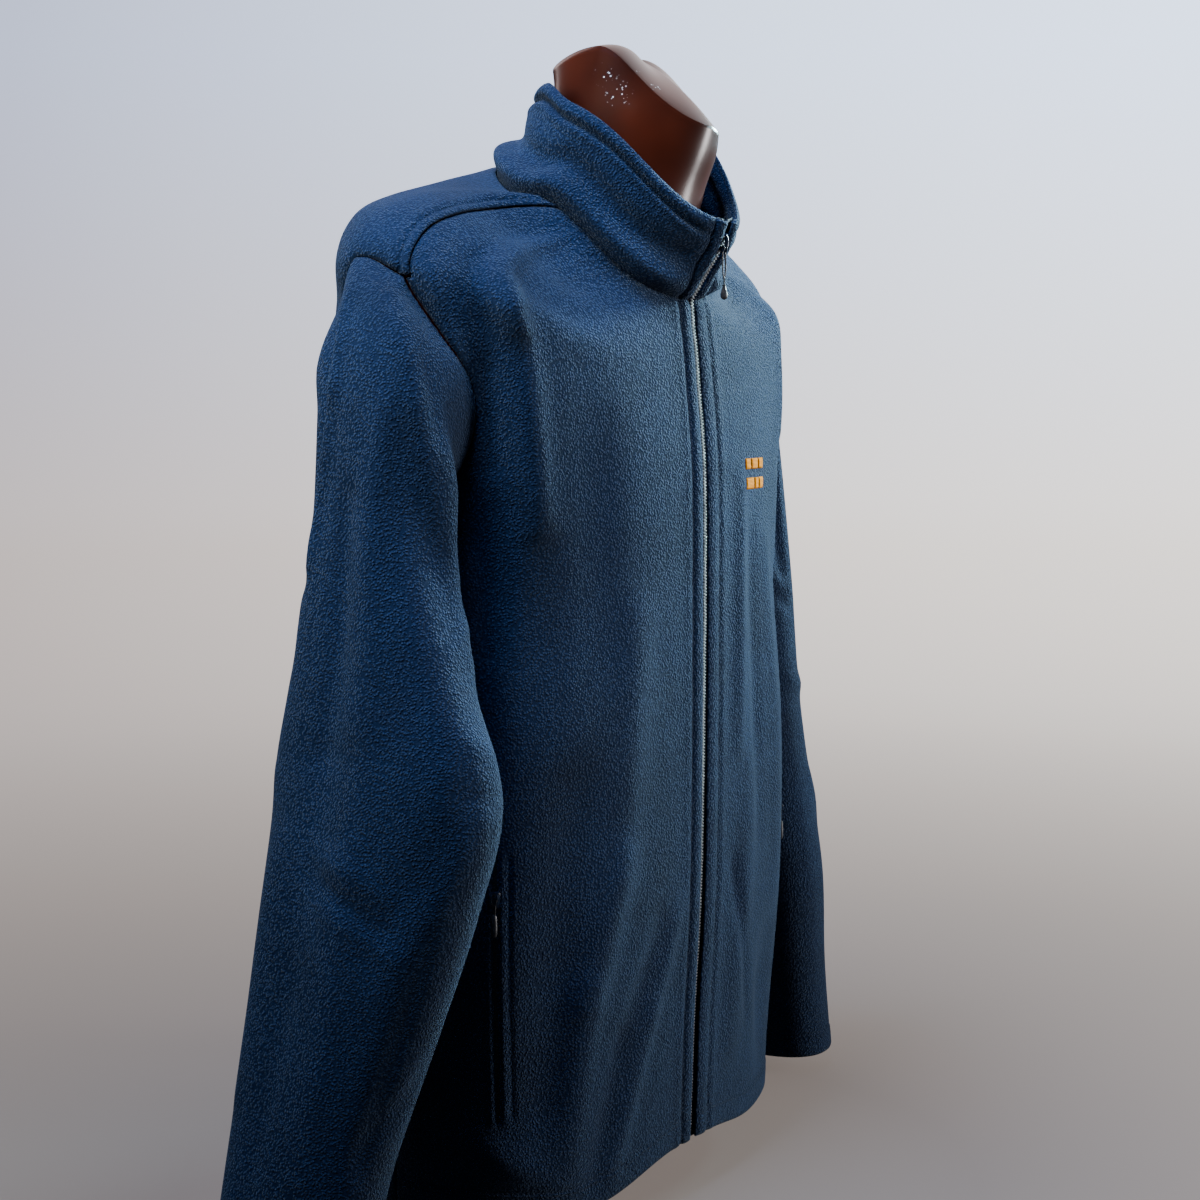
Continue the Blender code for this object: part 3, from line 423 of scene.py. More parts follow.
fleeceFinish = {
    # pitShade is painted shade in the pile's hollows and tip a painted highlight on its tops; nap is the cloth's own
    # blue
    "pitShade": (0.007, 0.0185, 0.048), "nap": (0.015, 0.036, 0.088), "tip": (0.0265, 0.06, 0.136),
    "pebble": 560.0,  # pebbles of pile in a metre
    "fibre": 2400.0, "relief": 0.0015,
    "wander": 0.0009,  # how far the pebbles stray from an even pattern
    "creaseDarkening": 0.45,  # how much the painted crease shade darkens the pile's colour
    "sheen": 0.14, "sheenTint": (0.6, 0.78, 0.94),
}


def fleeceMaterial():
    f = fleeceFinish
    m = Finish("fleeceBlue", f["nap"], 0.92)
    warp = m.add("TexNoise", m.coords, Scale=420.0, Detail=1.0, Roughness=0.5)
    pushed = m.add("VectorMath", warp.outputs["Color"], operation="MULTIPLY_ADD")
    pushed.inputs[1].default_value = [f["wander"]] * 3
    feed(pushed.inputs[2], m.coords)
    pebble = m.add("TexVoronoi", pushed.outputs[0], feature="SMOOTH_F1", Scale=f["pebble"], Smoothness=0.18)
    pile = m.range(pebble.outputs["Distance"], 0.08, 0.62, 1.0, 0.0)
    fibre = m.noise(f["fibre"], 3.0, 0.7)
    height = m.math("ADD", pile, m.math("MULTIPLY", fibre, 0.12))
    # This attribute darkens the colour at seams, stitch lines and the hem fold: painted shade.
    creaseShade = m.add("Attribute", attribute_name="creaseShade").outputs["Fac"]
    creaseDarkening = m.math("MULTIPLY", creaseShade, f["creaseDarkening"])
    lit = m.math("SUBTRACT", m.math("MULTIPLY", height, 0.88), creaseDarkening, True)
    # The base colour runs from painted shade in the pile's hollows to a painted highlight on the pile's tops.
    low = m.mix(m.range(lit, 0.1, 0.55), f["pitShade"], f["nap"])
    full = m.mix(m.range(lit, 0.62, 1.0), low, f["tip"])
    tone = m.range(m.noise(14.0, 4.0, 0.6), 0.3, 0.7, 0.8, 1.18)
    m.shade({
        "Base Color": m.mix(1.0, full, tone, "MULTIPLY"),
        "Sheen Weight": f["sheen"],
        "Sheen Roughness": 0.38,
        "Sheen Tint": f["sheenTint"],
        "Specular IOR Level": 0.18,
    })
    m.bump(height, 1.0, f["relief"])
    return m.material


def tapeMaterial():
    m = Finish("zipTapeWeave", (0.012, 0.014, 0.02), 0.85)
    rib = m.bands("DIAGONAL", 420.0, 0.6)
    m.shade({"Base Color": m.mix(rib, (0.003, 0.006, 0.014), (0.01, 0.018, 0.036))})
    m.bump(m.math("ADD", rib, m.noise(900.0)), 0.6, 0.0003)
    return m.material


# Each hard finish: dark, bright, roughness, metallic, grain, bump.
hardFinishes = {
    "teethGrey": ((0.1, 0.105, 0.115), (0.34, 0.35, 0.37), 0.36, 0.2, 700.0, 0.0002),
    "sliderNavy": ((0.004, 0.008, 0.02), (0.012, 0.026, 0.062), 0.2, 0.1, 350.0, 0.0002),
    "loopSteel": ((0.03, 0.03, 0.034), (0.13, 0.13, 0.135), 0.26, 0.9, 600.0, 0.0001),
    "cordBlack": ((0.006, 0.006, 0.007), (0.03, 0.031, 0.036), 0.62, 0.0, 1500.0, 0.0003),
    "beadRubber": ((0.016, 0.017, 0.02), (0.06, 0.062, 0.068), 0.38, 0.0, 400.0, 0.0002),
    "threadNavy": ((0.006, 0.014, 0.036), (0.018, 0.046, 0.105), 0.7, 0.0, 2500.0, 0.0002),
}


def hardMaterial(name, dark, bright, roughness, metallic, grain, bump):
    m = Finish(name, bright, roughness, metallic)
    wear = m.noise(grain, 4.0, 0.65)
    m.shade({
        "Base Color": m.mix(m.range(wear, 0.35, 0.65), dark, bright),
        "Roughness": m.range(wear, 0.3, 0.7, roughness * 1.25, roughness * 0.8),
    })
    m.bump(wear, 0.35, bump)
    return m.material


satin = {"base": (0.85, 0.3, 0.002), "dark": (0.62, 0.19, 0.001), "bright": (1.0, 0.36, 0.002)}


def satinMaterial():
    m = Finish("satinYellow", satin["base"], 0.7)
    strand = m.bands("Z", 330.0, 1.2)
    colour = m.mix(strand, satin["dark"], satin["bright"])
    m.shade({"Base Color": colour, "Specular IOR Level": 0.05})
    m.bump(strand, 0.8, 0.0004)
    return m.material


formFinish = {
    "deep": (0.016, 0.0028, 0.0016), "warm": (0.066, 0.012, 0.005), "chip": (0.75, 0.74, 0.72),
    # Where the gloss is chipped: x, y, z, reach.
    "chips": [
        (-0.046, -0.062, 0.808, 0.01), (-0.045, -0.072, 0.793, 0.011),
        (-0.036, -0.084, 0.814, 0.006), (-0.03, -0.094, 0.802, 0.007),
    ],
}


def formMaterial():
    f = formFinish
    m = Finish("formGloss", f["warm"], 0.32)
    cloudy = m.noise(9.0, 3.0)
    brown = m.mix(m.range(cloudy, 0.35, 0.65), f["deep"], f["warm"])
    speck = m.add("TexVoronoi", m.coords, feature="F1", Scale=420.0)
    spot = m.range(speck.outputs["Distance"], 0.3, 0.24)
    near = 0.0
    for *place, reach in f["chips"]:
        away = m.add("VectorMath", m.coords, operation="DISTANCE")
        away.inputs[1].default_value = place
        near = m.math("MAXIMUM", near, m.range(away.outputs["Value"], reach, reach * 0.35))
    rare = m.range(m.noise(260.0), 0.5, 0.54)
    chips = m.math("MULTIPLY", m.math("MULTIPLY", spot, near), rare, True)
    m.shade({
        "Base Color": m.mix(chips, brown, f["chip"]),
        "Specular IOR Level": 0.3,
        "Coat Weight": 0.55,
        "Coat Roughness": 0.22,
    })
    m.bump(m.noise(60.0), 0.06, 0.0004)
    return m.material


fleeceBlue, tapeWeave, satinYellow, formGloss = fleeceMaterial(), tapeMaterial(), satinMaterial(), formMaterial()
hard = {name: hardMaterial(name, *facts) for name, facts in hardFinishes.items()}
print("materials made")

# Making cloth


def runs(*parts):  # stations from several even stretches: from, to, how many
    return np.unique(joined([np.linspace(a, b, n + 1) for a, b, n in parts]))


def travelled(points, axis, fromEnd=False):  # distance along the cloth from one edge of a grid
    step = np.linalg.norm(np.diff(points, axis=axis), axis=-1)
    if fromEnd:
        step = np.flip(step, axis)
    total = np.cumsum(step, axis=axis)
    total = joined([np.zeros_like(np.take(total, [0], axis)), total], axis)
    return np.flip(total, axis) if fromEnd else total


def edgeDistances(points):  # from the first and last column and the first and last row
    return [travelled(points, axis, fromEnd) for axis in (1, 0) for fromEnd in (False, True)]


def groove(d, at, depth, width):
    return -depth * bell(d - at, width)


def between(d, run, values):  # a line's values at a distance along it
    return np.stack([np.interp(d, run, values[:, k]) for k in range(3)], -1)


def sheetGrid(points, normals, creaseShade=None, wall=None, wrap=False):
    rows, cols = points.shape[:2]
    bm = bmesh.new()
    # how much painted shade each point's colour gets along creases and seams
    creaseShadeLayer = bm.verts.layers.float.new("creaseShade")
    wallLayer = bm.verts.layers.deform.verify()
    bmesh.ops.create_grid(bm, x_segments=cols - 1, y_segments=rows - 1, size=0.5)
    for v in bm.verts:
        r, c = round((v.co.y + 0.5) * (rows - 1)), round((v.co.x + 0.5) * (cols - 1))
        v.co = points[r, c]
        if creaseShade is not None:
            v[creaseShadeLayer] = float(creaseShade[r, c])
        v[wallLayer][0] = 0.5 if wall is None else float(wall[r, c])
    if wrap:
        bmesh.ops.remove_doubles(bm, verts=bm.verts, dist=0.000001)
    bm.normal_update()
    bm.faces.ensure_lookup_table()
    face = bm.faces[(rows // 2) * (cols - 1) + cols // 2 if not wrap else len(bm.faces) // 2]
    where = np.array(face.calc_center_median())
    near = np.argmin(np.linalg.norm(points.reshape(-1, 3) - where, axis=1))
    if np.dot(face.normal, normals.reshape(-1, 3)[near]) < 0:
        bmesh.ops.reverse_faces(bm, faces=bm.faces)
    return bm


def meshOf(bm, name):
    mesh = bpy.data.meshes.new(name)
    bm.to_mesh(mesh)
    bm.free()
    return mesh


def merged(parts, weld=False):  # pairs of a part and its material's number
    whole = bmesh.new()
    if weld:
        whole.verts.layers.float.new("creaseShade")
        whole.verts.layers.deform.verify()
    for part, index in parts:
        mesh = meshOf(part, "part")
        first = len(whole.faces)
        whole.from_mesh(mesh)
        bpy.data.meshes.remove(mesh)
        whole.faces.ensure_lookup_table()
        for face in whole.faces[first:]:
            face.material_index = index
    if weld:
        bmesh.ops.remove_doubles(whole, verts=whole.verts, dist=0.00002)
    return whole


def inScene(name, data):
    obj = bpy.data.objects.new(name, data)
    bpy.context.scene.collection.objects.link(obj)
    return obj


def meshObject(name, bm, materials):
    for face in bm.faces:
        face.smooth = True
    obj = inScene(name, meshOf(bm, name))
    for material in materials:
        obj.data.materials.append(material)
    return obj


def addPiece(name, bm, materials, replaces=(), body="jacket"):
    obj = meshObject(name, bm, materials)
    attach(obj, body)
    if replaces:
        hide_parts(*replaces)
    return obj


def addWall(obj, thickness):
    wall = obj.modifiers.new("wall", "SOLIDIFY")
    wall.thickness, wall.offset = thickness, -1
    return wall


def addCloth(name, bm, thick, node):
    obj = addPiece(name, bm, [fleeceBlue], [node])
    obj.vertex_groups.new(name="wall")
    addWall(obj, 2 * thick).vertex_group = "wall"
    return obj


def bothSides(make, name, node):
    return {side: make(side, name + word, node + "_" + word.lower()) for side, word in sideWords.items()}


def rounded(d, reach=0.0022):  # thins the wall towards a cut or folded edge
    return 0.45 + 0.55 * within(d / reach) ** 0.5


stitchLines = []


def stitchAlong(points, n, distance, at, axis):  # keeps the line where a distance from an edge has one value
    if axis:
        points, n, distance = np.swapaxes(points, 0, 1), np.swapaxes(n, 0, 1), distance.T
    if distance[0, 0] > distance[-1, 0]:
        points, n, distance = points[::-1], n[::-1], distance[::-1]
    columns = range(points.shape[1])
    stitchLines.append([np.array([between(at, distance[:, j], v[:, j]) for j in columns]) for v in (points, n)])


seams = {
    "tuck": 0.0015, "tuckWidth": 0.003, "hemDepth": 0.02,
    "hemRows": 0.0035,  # between the hem's two rows of stitching
    # the widths of painted shade along seams, folds and stitch lines
    "creaseShadeWidth": 0.003, "stitch": 0.0015,
    "zipBand": {right: 0.0125, left: 0.0155},
    "shoulderBand": 0.007,
}


def hemStitches(points, n, distance):
    for at in (seams["hemDepth"], seams["hemDepth"] - seams["hemRows"]):
        stitchAlong(points, n, distance, at, 0)


def hemWall(edge, hem):  # the wall's share of its full thickness, more where the hem is turned double
    return 0.5 * rounded(edge) * (1 + 0.8 * smoothStep(0.021, 0.019, hem))


def creaseShadeOf(*rows):  # painted shade along creases, seams and stitch lines, from 0 to 1; each row: how much, distance, width
    return within(sum(share * bell(distance, width) for share, distance, width in rows))


# the painted shade in the hem's fold
def hemCreaseShade(hem):
    return 0.5, hem - 0.0183, seams["creaseShadeWidth"]


def meet(points, beside, step):  # moves an edge a step towards the row beside it
    return points + unit(beside - points) * step


def hemRelief(d):  # a turned hem with two close rows of stitching
    depth = seams["hemDepth"]
    raised = 0.0007 * smoothStep(depth + 0.0015, depth - 0.0015, d)
    stitchShade = groove(d, depth - seams["hemRows"], 0.0006, 0.0009) + groove(d, depth, 0.0008, 0.001)
    return raised + stitchShade - 0.0012 * within(1 - d / 0.004) ** 2


def tuck(d):
    return groove(d, 0, seams["tuck"], seams["tuckWidth"])


def bandRelief(d, width, height):  # a turned band with a stitched line at its inner side
    x = within(d / width)
    puff = height * np.sin(np.pi * x) ** 0.75
    roll = 0.0007 * bell(d - width - 0.006, 0.004)
    return puff + roll + groove(d, width, 0.0009, 0.0016)


pocket = {
    "share": 0.7565,  # of the way from the zip to the side
    "low": 0.098, "high": 0.28, "lip": 0.0036, "lipHeight": 0.001, "slot": 0.0018, "seam": 0.0085,
}


def pocketRelief(points, share, lengths):
    p = pocket
    across = np.abs((share - p["share"]) * lengths)
    z = points[..., 2]
    inside = smoothStep(p["low"] - 0.004, p["low"] + 0.002, z) * smoothStep(p["high"] + 0.004, p["high"] - 0.002, z)
    lips = p["lipHeight"] * bell(across - p["lip"], 0.0022)
    slot = -0.0014 * np.exp(-((across / p["slot"]) ** 4))
    return (lips + slot + groove(across, p["seam"], 0.0009, 0.001)) * inside


frontRows = runs(
    (0, 0.05, 26), (0.05, 0.98, 150), (0.98, 1.02, 4), (1.02, 1.98, 62), (1.98, 2.02, 4), (2.02, 2.9, 34), (2.9, 3, 8)
)
frontColumns = runs((0, 0.075, 20), (0.075, 0.7, 52), (0.7, 0.81, 24), (0.81, 0.97, 14), (0.97, 1, 8))


def frontPanel(side, name, node):
    s, front = panelRow(frontRows, True, side)
    first = edgeAngle(torsoForm["rings"], s, fleece["zipEdge"][side])
    angle = first[:, None] + (front - first)[:, None] * frontColumns[None]
    points, n = torso(s[:, None], angle, side)
    fromZip, fromSide, fromHem, fromNeck = edgeDistances(points)
    band, creaseShadeWidth = seams["zipBand"][side], seams["creaseShadeWidth"]
    lift = bandRelief(fromZip, band, 0.0016) + tuck(fromSide)
    lift = lift + hemRelief(fromHem) * smoothStep(0.0, 0.004, fromZip) + tuck(fromNeck)
    lift = lift + pocketRelief(points, frontColumns[None], fromZip[:, -1:])
    # painted shade along the seams, the band's stitch line and the hem fold
    stitchShade = 0.6, fromZip - band, seams["stitch"]
    creaseShade = creaseShadeOf((1, fromSide, creaseShadeWidth), (1, fromNeck, creaseShadeWidth), stitchShade, hemCreaseShade(fromHem))
    points = points + n * lift[..., None]
    points[:, -1] = meet(points[:, -1], points[:, -2], fleece["gap"])
    points[-1] = meet(points[-1], points[-2], fleece["gap"])
    hemStitches(points, n, fromHem)
    stitchAlong(points, n, fromZip, band, 1)
    wall = hemWall(np.minimum(fromZip, fromHem), fromHem)
    return addCloth(name, sheetGrid(points, n, creaseShade, wall), fleece["thick"], node)


fronts = bothSides(frontPanel, "front", "front")
print("fronts made")

backColumns = runs((0, 0.95, 68), (0.95, 1, 8))
yokeColumns = runs((0, 0.7, 12), (0.7, 1, 14))


def backHalf(side):
    creaseShadeWidth = seams["creaseShadeWidth"]
    s, inner = panelRow(frontRows, False, side)
    angle = 180 + (inner - 180)[:, None] * backColumns[None]
    points, n = torso(s[:, None], angle, side)
    top = int(np.argmax(frontRows >= 2))
    _, fromSide, fromHem, fromNeck = edgeDistances(points)
    above = np.where(frontRows[:, None] > 2, fromHem - fromHem[top][None], 0)
    fromArm = np.hypot(fromSide, above)
    lift = tuck(fromArm) + hemRelief(fromHem) + tuck(fromNeck)
    # painted shade along the armhole, the neck and the hem fold
    creaseShade = creaseShadeOf((1, fromArm, creaseShadeWidth), (1, fromNeck, creaseShadeWidth), hemCreaseShade(fromHem))
    main = points + n * lift[..., None]
    main[:top, -1] = meet(main[:top, -1], main[:top, -2], fleece["gap"])
    main[-1] = meet(main[-1], main[-2], fleece["gap"])
    hemStitches(main, n, fromHem)
    bodyGrid = sheetGrid(main, n, creaseShade, hemWall(fromHem, fromHem))

    # The part that comes forward over the shoulder.
    rows = frontRows[top:]
    inner, outer = panelRow(rows, False, side)[1], panelRow(rows, True, side)[1]
    inner[0], outer[0] = torsoForm["armTopAngles"][::-1]
    angle = inner[:, None] + (outer - inner)[:, None] * yokeColumns[None]
    low = armholeTop(angle[:1])
    points, n = torso(low + (rows[:, None] - 2) * (torsoForm["neck"] - low), angle, side)
    _, fromSeam, fromArm, fromNeck = edgeDistances(points)
    band, stitch = seams["shoulderBand"], seams["stitch"]
    lift = tuck(fromArm) + tuck(fromNeck) + bandRelief(fromSeam, band, 0.0009)
    # painted shade along the shoulder band's stitch line and its seam
    stitchShade = (0.6, fromSeam - band, stitch), (1, fromSeam, stitch)
    creaseShade = creaseShadeOf((1, fromArm, creaseShadeWidth), (1, fromNeck, creaseShadeWidth), *stitchShade)
    yoke = points + n * lift[..., None]
    yoke[-1] = meet(yoke[-1], yoke[-2], fleece["gap"])
    stitchAlong(yoke, n, fromSeam, band, 1)
    return (bodyGrid, 0), (sheetGrid(yoke, n, creaseShade), 0)


back = addCloth("backPanel", merged([*backHalf(right), *backHalf(left)], True), fleece["thick"], "back")
print("back made")

sleeveRows = runs((0, 0.25, 8), (0.25, 1, 16), (1, 8, 140), (8, 8.65, 16), (8.65, 9, 18))
sleeveColumns = np.linspace(0, 360, 137)


def sleevePiece(side, name, node):
    points, n = arm(sleeveRows[:, None], sleeveColumns[None], side)
    girth, _, fromArm, fromCuff = edgeDistances(points)
    fromSeam = np.abs(sleeveColumns[None] - 180) / 360 * girth[:, -1:]
    lift = tuck(fromArm) + hemRelief(fromCuff) + groove(fromSeam, 0, 0.001, 0.002)
    # painted shade along the armhole, the underarm seam and the cuff's fold
    creaseShade = creaseShadeOf((1, fromArm, seams["creaseShadeWidth"]), (1, fromSeam, 0.0025), hemCreaseShade(fromCuff))
    points = points + n * lift[..., None]
    points[0] = meet(points[0], points[1], fleece["gap"])
    hemStitches(points, n, fromCuff)
    return addCloth(name, sheetGrid(points, n, creaseShade, hemWall(fromCuff, fromCuff), True), fleece["thick"], node)


sleeves = bothSides(sleevePiece, "sleeve", "sleeve")
print("sleeves made")

collarRows = runs((0, 0.25, 6), (0.25, 2.2, 26), (2.2, 3, 18))
collarEnds = runs((0, 0.05, 16), (0.05, 1, 110))


# Ridges and grooves across the collar: how far from an edge, how high, how wide.
collarRelief = {
    "band": 0.011, "stitch": 0.012,
    "fromSeam": [(0.0115, 0.0066, 0.008), (0.029, -0.0062, 0.0095)],
    "fromTop": [(0.012, -0.0034, 0.002), (0.0058, 0.0026, 0.0042), (0.017, 0.0016, 0.0036)],
    "under": 0.006,  # how far the band is tucked under the neck edge
}


def ridges(rows, distance):
    return sum(height * bell(distance - at, width) for at, height, width in rows)


def collarPiece():
    c = collarRelief
    halves = []
    for side in (right, left):
        first = edgeAngle(collarRings, collarRows, fleece["zipEdge"][side])
        angle = first[:, None] + (180 - first)[:, None] * collarEnds[None]
        points, n = stand(collarRows[:, None], angle, side)
        fromZip, _, fromSeam, fromTop = edgeDistances(points)
        away = smoothStep(0.004, 0.03, fromZip)
        lift = bandRelief(fromZip, c["band"], 0.0022) + 1.4 * tuck(fromSeam)
        lift = lift + away * ridges(c["fromSeam"], fromSeam) + away * ridges(c["fromTop"], fromTop)
        lift = lift - 0.0012 * within(1 - fromTop / 0.0022) ** 2
        # painted shade along the collar's seam and stitch lines
        sewnShade = (0.7 * away, fromTop - c["stitch"], 0.0022), (0.6, fromZip - c["band"], seams["stitch"])
        creaseShade = creaseShadeOf((1, fromSeam, seams["creaseShadeWidth"]), *sewnShade)
        wall = 0.5 * rounded(np.minimum(fromTop, fromZip), 0.003)
        halves.append([points + n * lift[..., None], n, creaseShade, wall])
        stitchAlong(halves[-1][0], n, fromTop, c["stitch"], 0)
    points, n, creaseShade, wall = (joined([a, b[:, -2::-1]], 1) for a, b in zip(*halves))
    points[0] = meet(points[0], points[1], -c["under"])
    return addCloth("standCollar", sheetGrid(points, n, creaseShade, wall), fleece["collarThick"], "collar")


collar = collarPiece()
print("collar made")

# The main zip

zipSizes = {
    "pitch": 0.0023, "tooth": (0.0036, 0.0012, 0.0018), "apart": 0.0009,
    "sink": (0.0026, 0.0002),  # the closed bands cover the teeth low down
    "middle": -0.0004, "tape": (0.002, 0.0158), "tapeThick": 0.0008,
}
zipRows = joined([np.linspace(0, 4.35, 40), np.linspace(4.4, 12.95, 70)])
collarLine = np.linspace(0.02, 3, 40)


def zipLine(x):  # the garment's surface down the front, a small distance from its middle
    low = torso(zipRows, edgeAngle(torsoForm["rings"], zipRows, x), left)[0]
    high = stand(collarLine, edgeAngle(collarRings, collarLine, x), left)[0]
    line = joined([low, high])
    line[:, 0] = x + zipSway(line[:, 2])
    return line


centreLine = zipLine(0.0)
tangent = unit(np.gradient(centreLine, axis=0))
zipOut = xyz(0 * tangent[:, 0], -tangent[:, 2], tangent[:, 1])
behind = np.repeat([fleece["thick"] + 0.0006, fleece["collarThick"] + 0.0011], [len(zipRows), len(collarLine)])
lineDistance = travelled(centreLine, 0)


def ball(around, rings, lying=False):
    bm = bmesh.new()
    bmesh.ops.create_uvsphere(bm, u_segments=around, v_segments=rings, radius=0.5)
    if lying:
        bmesh.ops.rotate(bm, verts=bm.verts, cent=(0, 0, 0), matrix=Matrix.Rotation(math.pi / 2, 3, "Y"))
    return meshOf(bm, "ball")


def scattered(template, places):
    bm = bmesh.new()
    for place in places:
        first = len(bm.verts)
        bm.from_mesh(template)
        bm.verts.ensure_lookup_table()
        bmesh.ops.transform(bm, matrix=place, verts=bm.verts[first:])
    return bm


def placeAt(point, x, y, z, size=(1, 1, 1)):
    m = Matrix.Identity(4)
    for k, (axis, scale) in enumerate(zip((x, y, z), size)):
        for j in range(3):
            m[j][k] = axis[j] * scale
    for j in range(3):
        m[j][3] = point[j]
    return m


def zipTeeth():
    z = zipSizes
    places = []
    for side in (right, left):
        for d in np.arange(0.004 + (side == left) * z["pitch"] / 2, lineDistance[-1] - 0.01, z["pitch"]):
            at, up, out = (between(d, lineDistance, v) for v in (centreLine, tangent, zipOut))
            out = unit(out)
            point = at - out * np.interp(at[2], (0.1, 0.45), z["sink"])
            point = point + np.array([z["middle"] + side * z["apart"], 0, 0])
            places.append(placeAt(point, (1, 0, 0), unit(up), out, z["tooth"]))
    addPiece("zipTeeth", scattered(ball(8, 5, True), places), [hard["teethGrey"]], ["zip_chain"])


def zipTape(side, name, node):
    lines = np.stack([zipLine(x) for x in np.linspace(*zipSizes["tape"], 8)], 1)
    points = lines - zipOut[:, None] * behind[:, None, None]
    if side < 0:
        points[..., 0] = 2 * zipSway(points[..., 2]) - points[..., 0]
    bm = sheetGrid(points, np.broadcast_to(zipOut[:, None], points.shape))
    obj = addPiece(name, bm, [tapeWeave], [node])
    addWall(obj, zipSizes["tapeThick"])
    return obj


zipTeeth()
tapes = bothSides(zipTape, "zipTape", "zip_tape")
print("main zip made")

# Stitches

stitchSizes = {"step": 0.0036, "size": (0.0023, 0.0006, 0.0006), "lift": 0.0001, "slope": 0.001}


def stitchPiece():
    s = stitchSizes
    places = []
    for line, n in stitchLines:
        run = travelled(line, 0)
        for d in np.arange(s["step"], run[-1] - s["step"], s["step"]):
            before, at, after = (between(x, run, line) for x in (d - s["slope"], d, d + s["slope"]))
            along, out = unit(after - before), unit(between(d, run, n))
            places.append(placeAt(at + out * s["lift"], along, np.cross(out, along), out, s["size"]))
    addPiece("stitches", scattered(ball(6, 4), places), [hard["threadNavy"]])


stitchPiece()
print("stitches made")

# Pocket zips


pocketZipSizes = {
    "rows": (0.7, 2.58),
    "half": 0.0072,  # of the tape, as a share of the way from the zip to the side
    "behind": 0.0008, "tapeThick": 0.0007, "pitch": 0.0011, "tooth": (0.0022, 0.0009, 0.0013), "apart": 0.0007,
    "sink": 0.0004,
}


def pocketZip(side, word):
    p = pocketZipSizes
    rows = np.linspace(*p["rows"], 60)
    shares = pocket["share"] + np.linspace(-p["half"], p["half"], 7)
    first = edgeAngle(torsoForm["rings"], rows, fleece["zipEdge"][side])
    angle = first[:, None] + (90 - first)[:, None] * shares[None]
    points, n = torso(rows[:, None], angle, side)
    points = points - n * p["behind"]
    tape = addPiece("pocketTape" + word, sheetGrid(points, n), [tapeWeave], ["pocket_zip_" + word.lower()])
    addWall(tape, p["tapeThick"])
    middle = points[:, 3]
    run = travelled(middle, 0)
    lines = middle, unit(np.gradient(middle, axis=0)), unit(points[:, 4] - points[:, 2]), n[:, 3]
    places = []
    for k, d in enumerate(np.arange(0.003, run[-1] - 0.003, p["pitch"])):
        at, up, wide, out = (between(d, run, v) for v in lines)
        point = at - out * p["sink"] + wide * (p["apart"] if k % 2 else -p["apart"])
        places.append(placeAt(point, unit(wide), unit(up), unit(out), p["tooth"]))
    teeth = scattered(ball(8, 5, True), places)
    return tape, addPiece("pocketTeeth" + word, teeth, [hard["cordBlack"]])


pocketZips = {side: pocketZip(side, word) for side, word in sideWords.items()}
print("pocket zips made")

# Sliders and pulls


def tube(path, radius, sides=10, closed=False):  # a round tube along a path, its ends domed shut
    path = np.asarray(path, float)
    radius = np.broadcast_to(np.asarray(radius, float), (len(path),))
    if closed:
        path, radius = joined([path, path[:1]]), joined([radius, radius[:1]])
        steps = path[1:] - path[:-1]
        along = unit(joined([steps, steps[:1]]) + joined([steps[-1:], steps]))
        along[-1] = along[0]
    else:
        along = unit(np.gradient(path, axis=0))
    side = unit(np.cross(along, (0.0, 1.0, 0.02)))
    other = np.cross(along, side)
    turn = np.linspace(0, 2 * np.pi, sides + 1)
    ring = np.cos(turn)[None, :, None] * side[:, None] + np.sin(turn)[None, :, None] * other[:, None]
    points = path[:, None] + ring * radius[:, None, None]
    if not closed:
        ends = [np.repeat(path[k:][:1, None], sides + 1, 1) for k in (0, -1)]
        points = joined([ends[0], points, ends[1]])
        ring = joined([ring[:1], ring, ring[-1:]])
    return sheetGrid(points, ring, wrap=True)


def roundedBox(low, high, bevel, segments=3):
    bm = bmesh.new()
    bmesh.ops.create_cube(bm, size=1)
    low, high = Vector(low), Vector(high)
    bmesh.ops.scale(bm, verts=bm.verts, vec=high - low)
    bmesh.ops.translate(bm, verts=bm.verts, vec=(low + high) / 2)
    edges = bm.edges[:] + bm.verts[:]
    bmesh.ops.bevel(bm, geom=edges, offset=bevel, segments=segments, profile=0.5, affect="EDGES", material=-1)
    return bm


sliderSizes = {
    "pinOut": 0.0052,  # the pin's middle, from the cloth
    "pinHalf": 0.002, "pinRadius": 0.0008, "lugs": ((-0.0025, -0.0013), (0.0013, 0.0025)),
    "sides": (-0.0037, 0.0037),
}


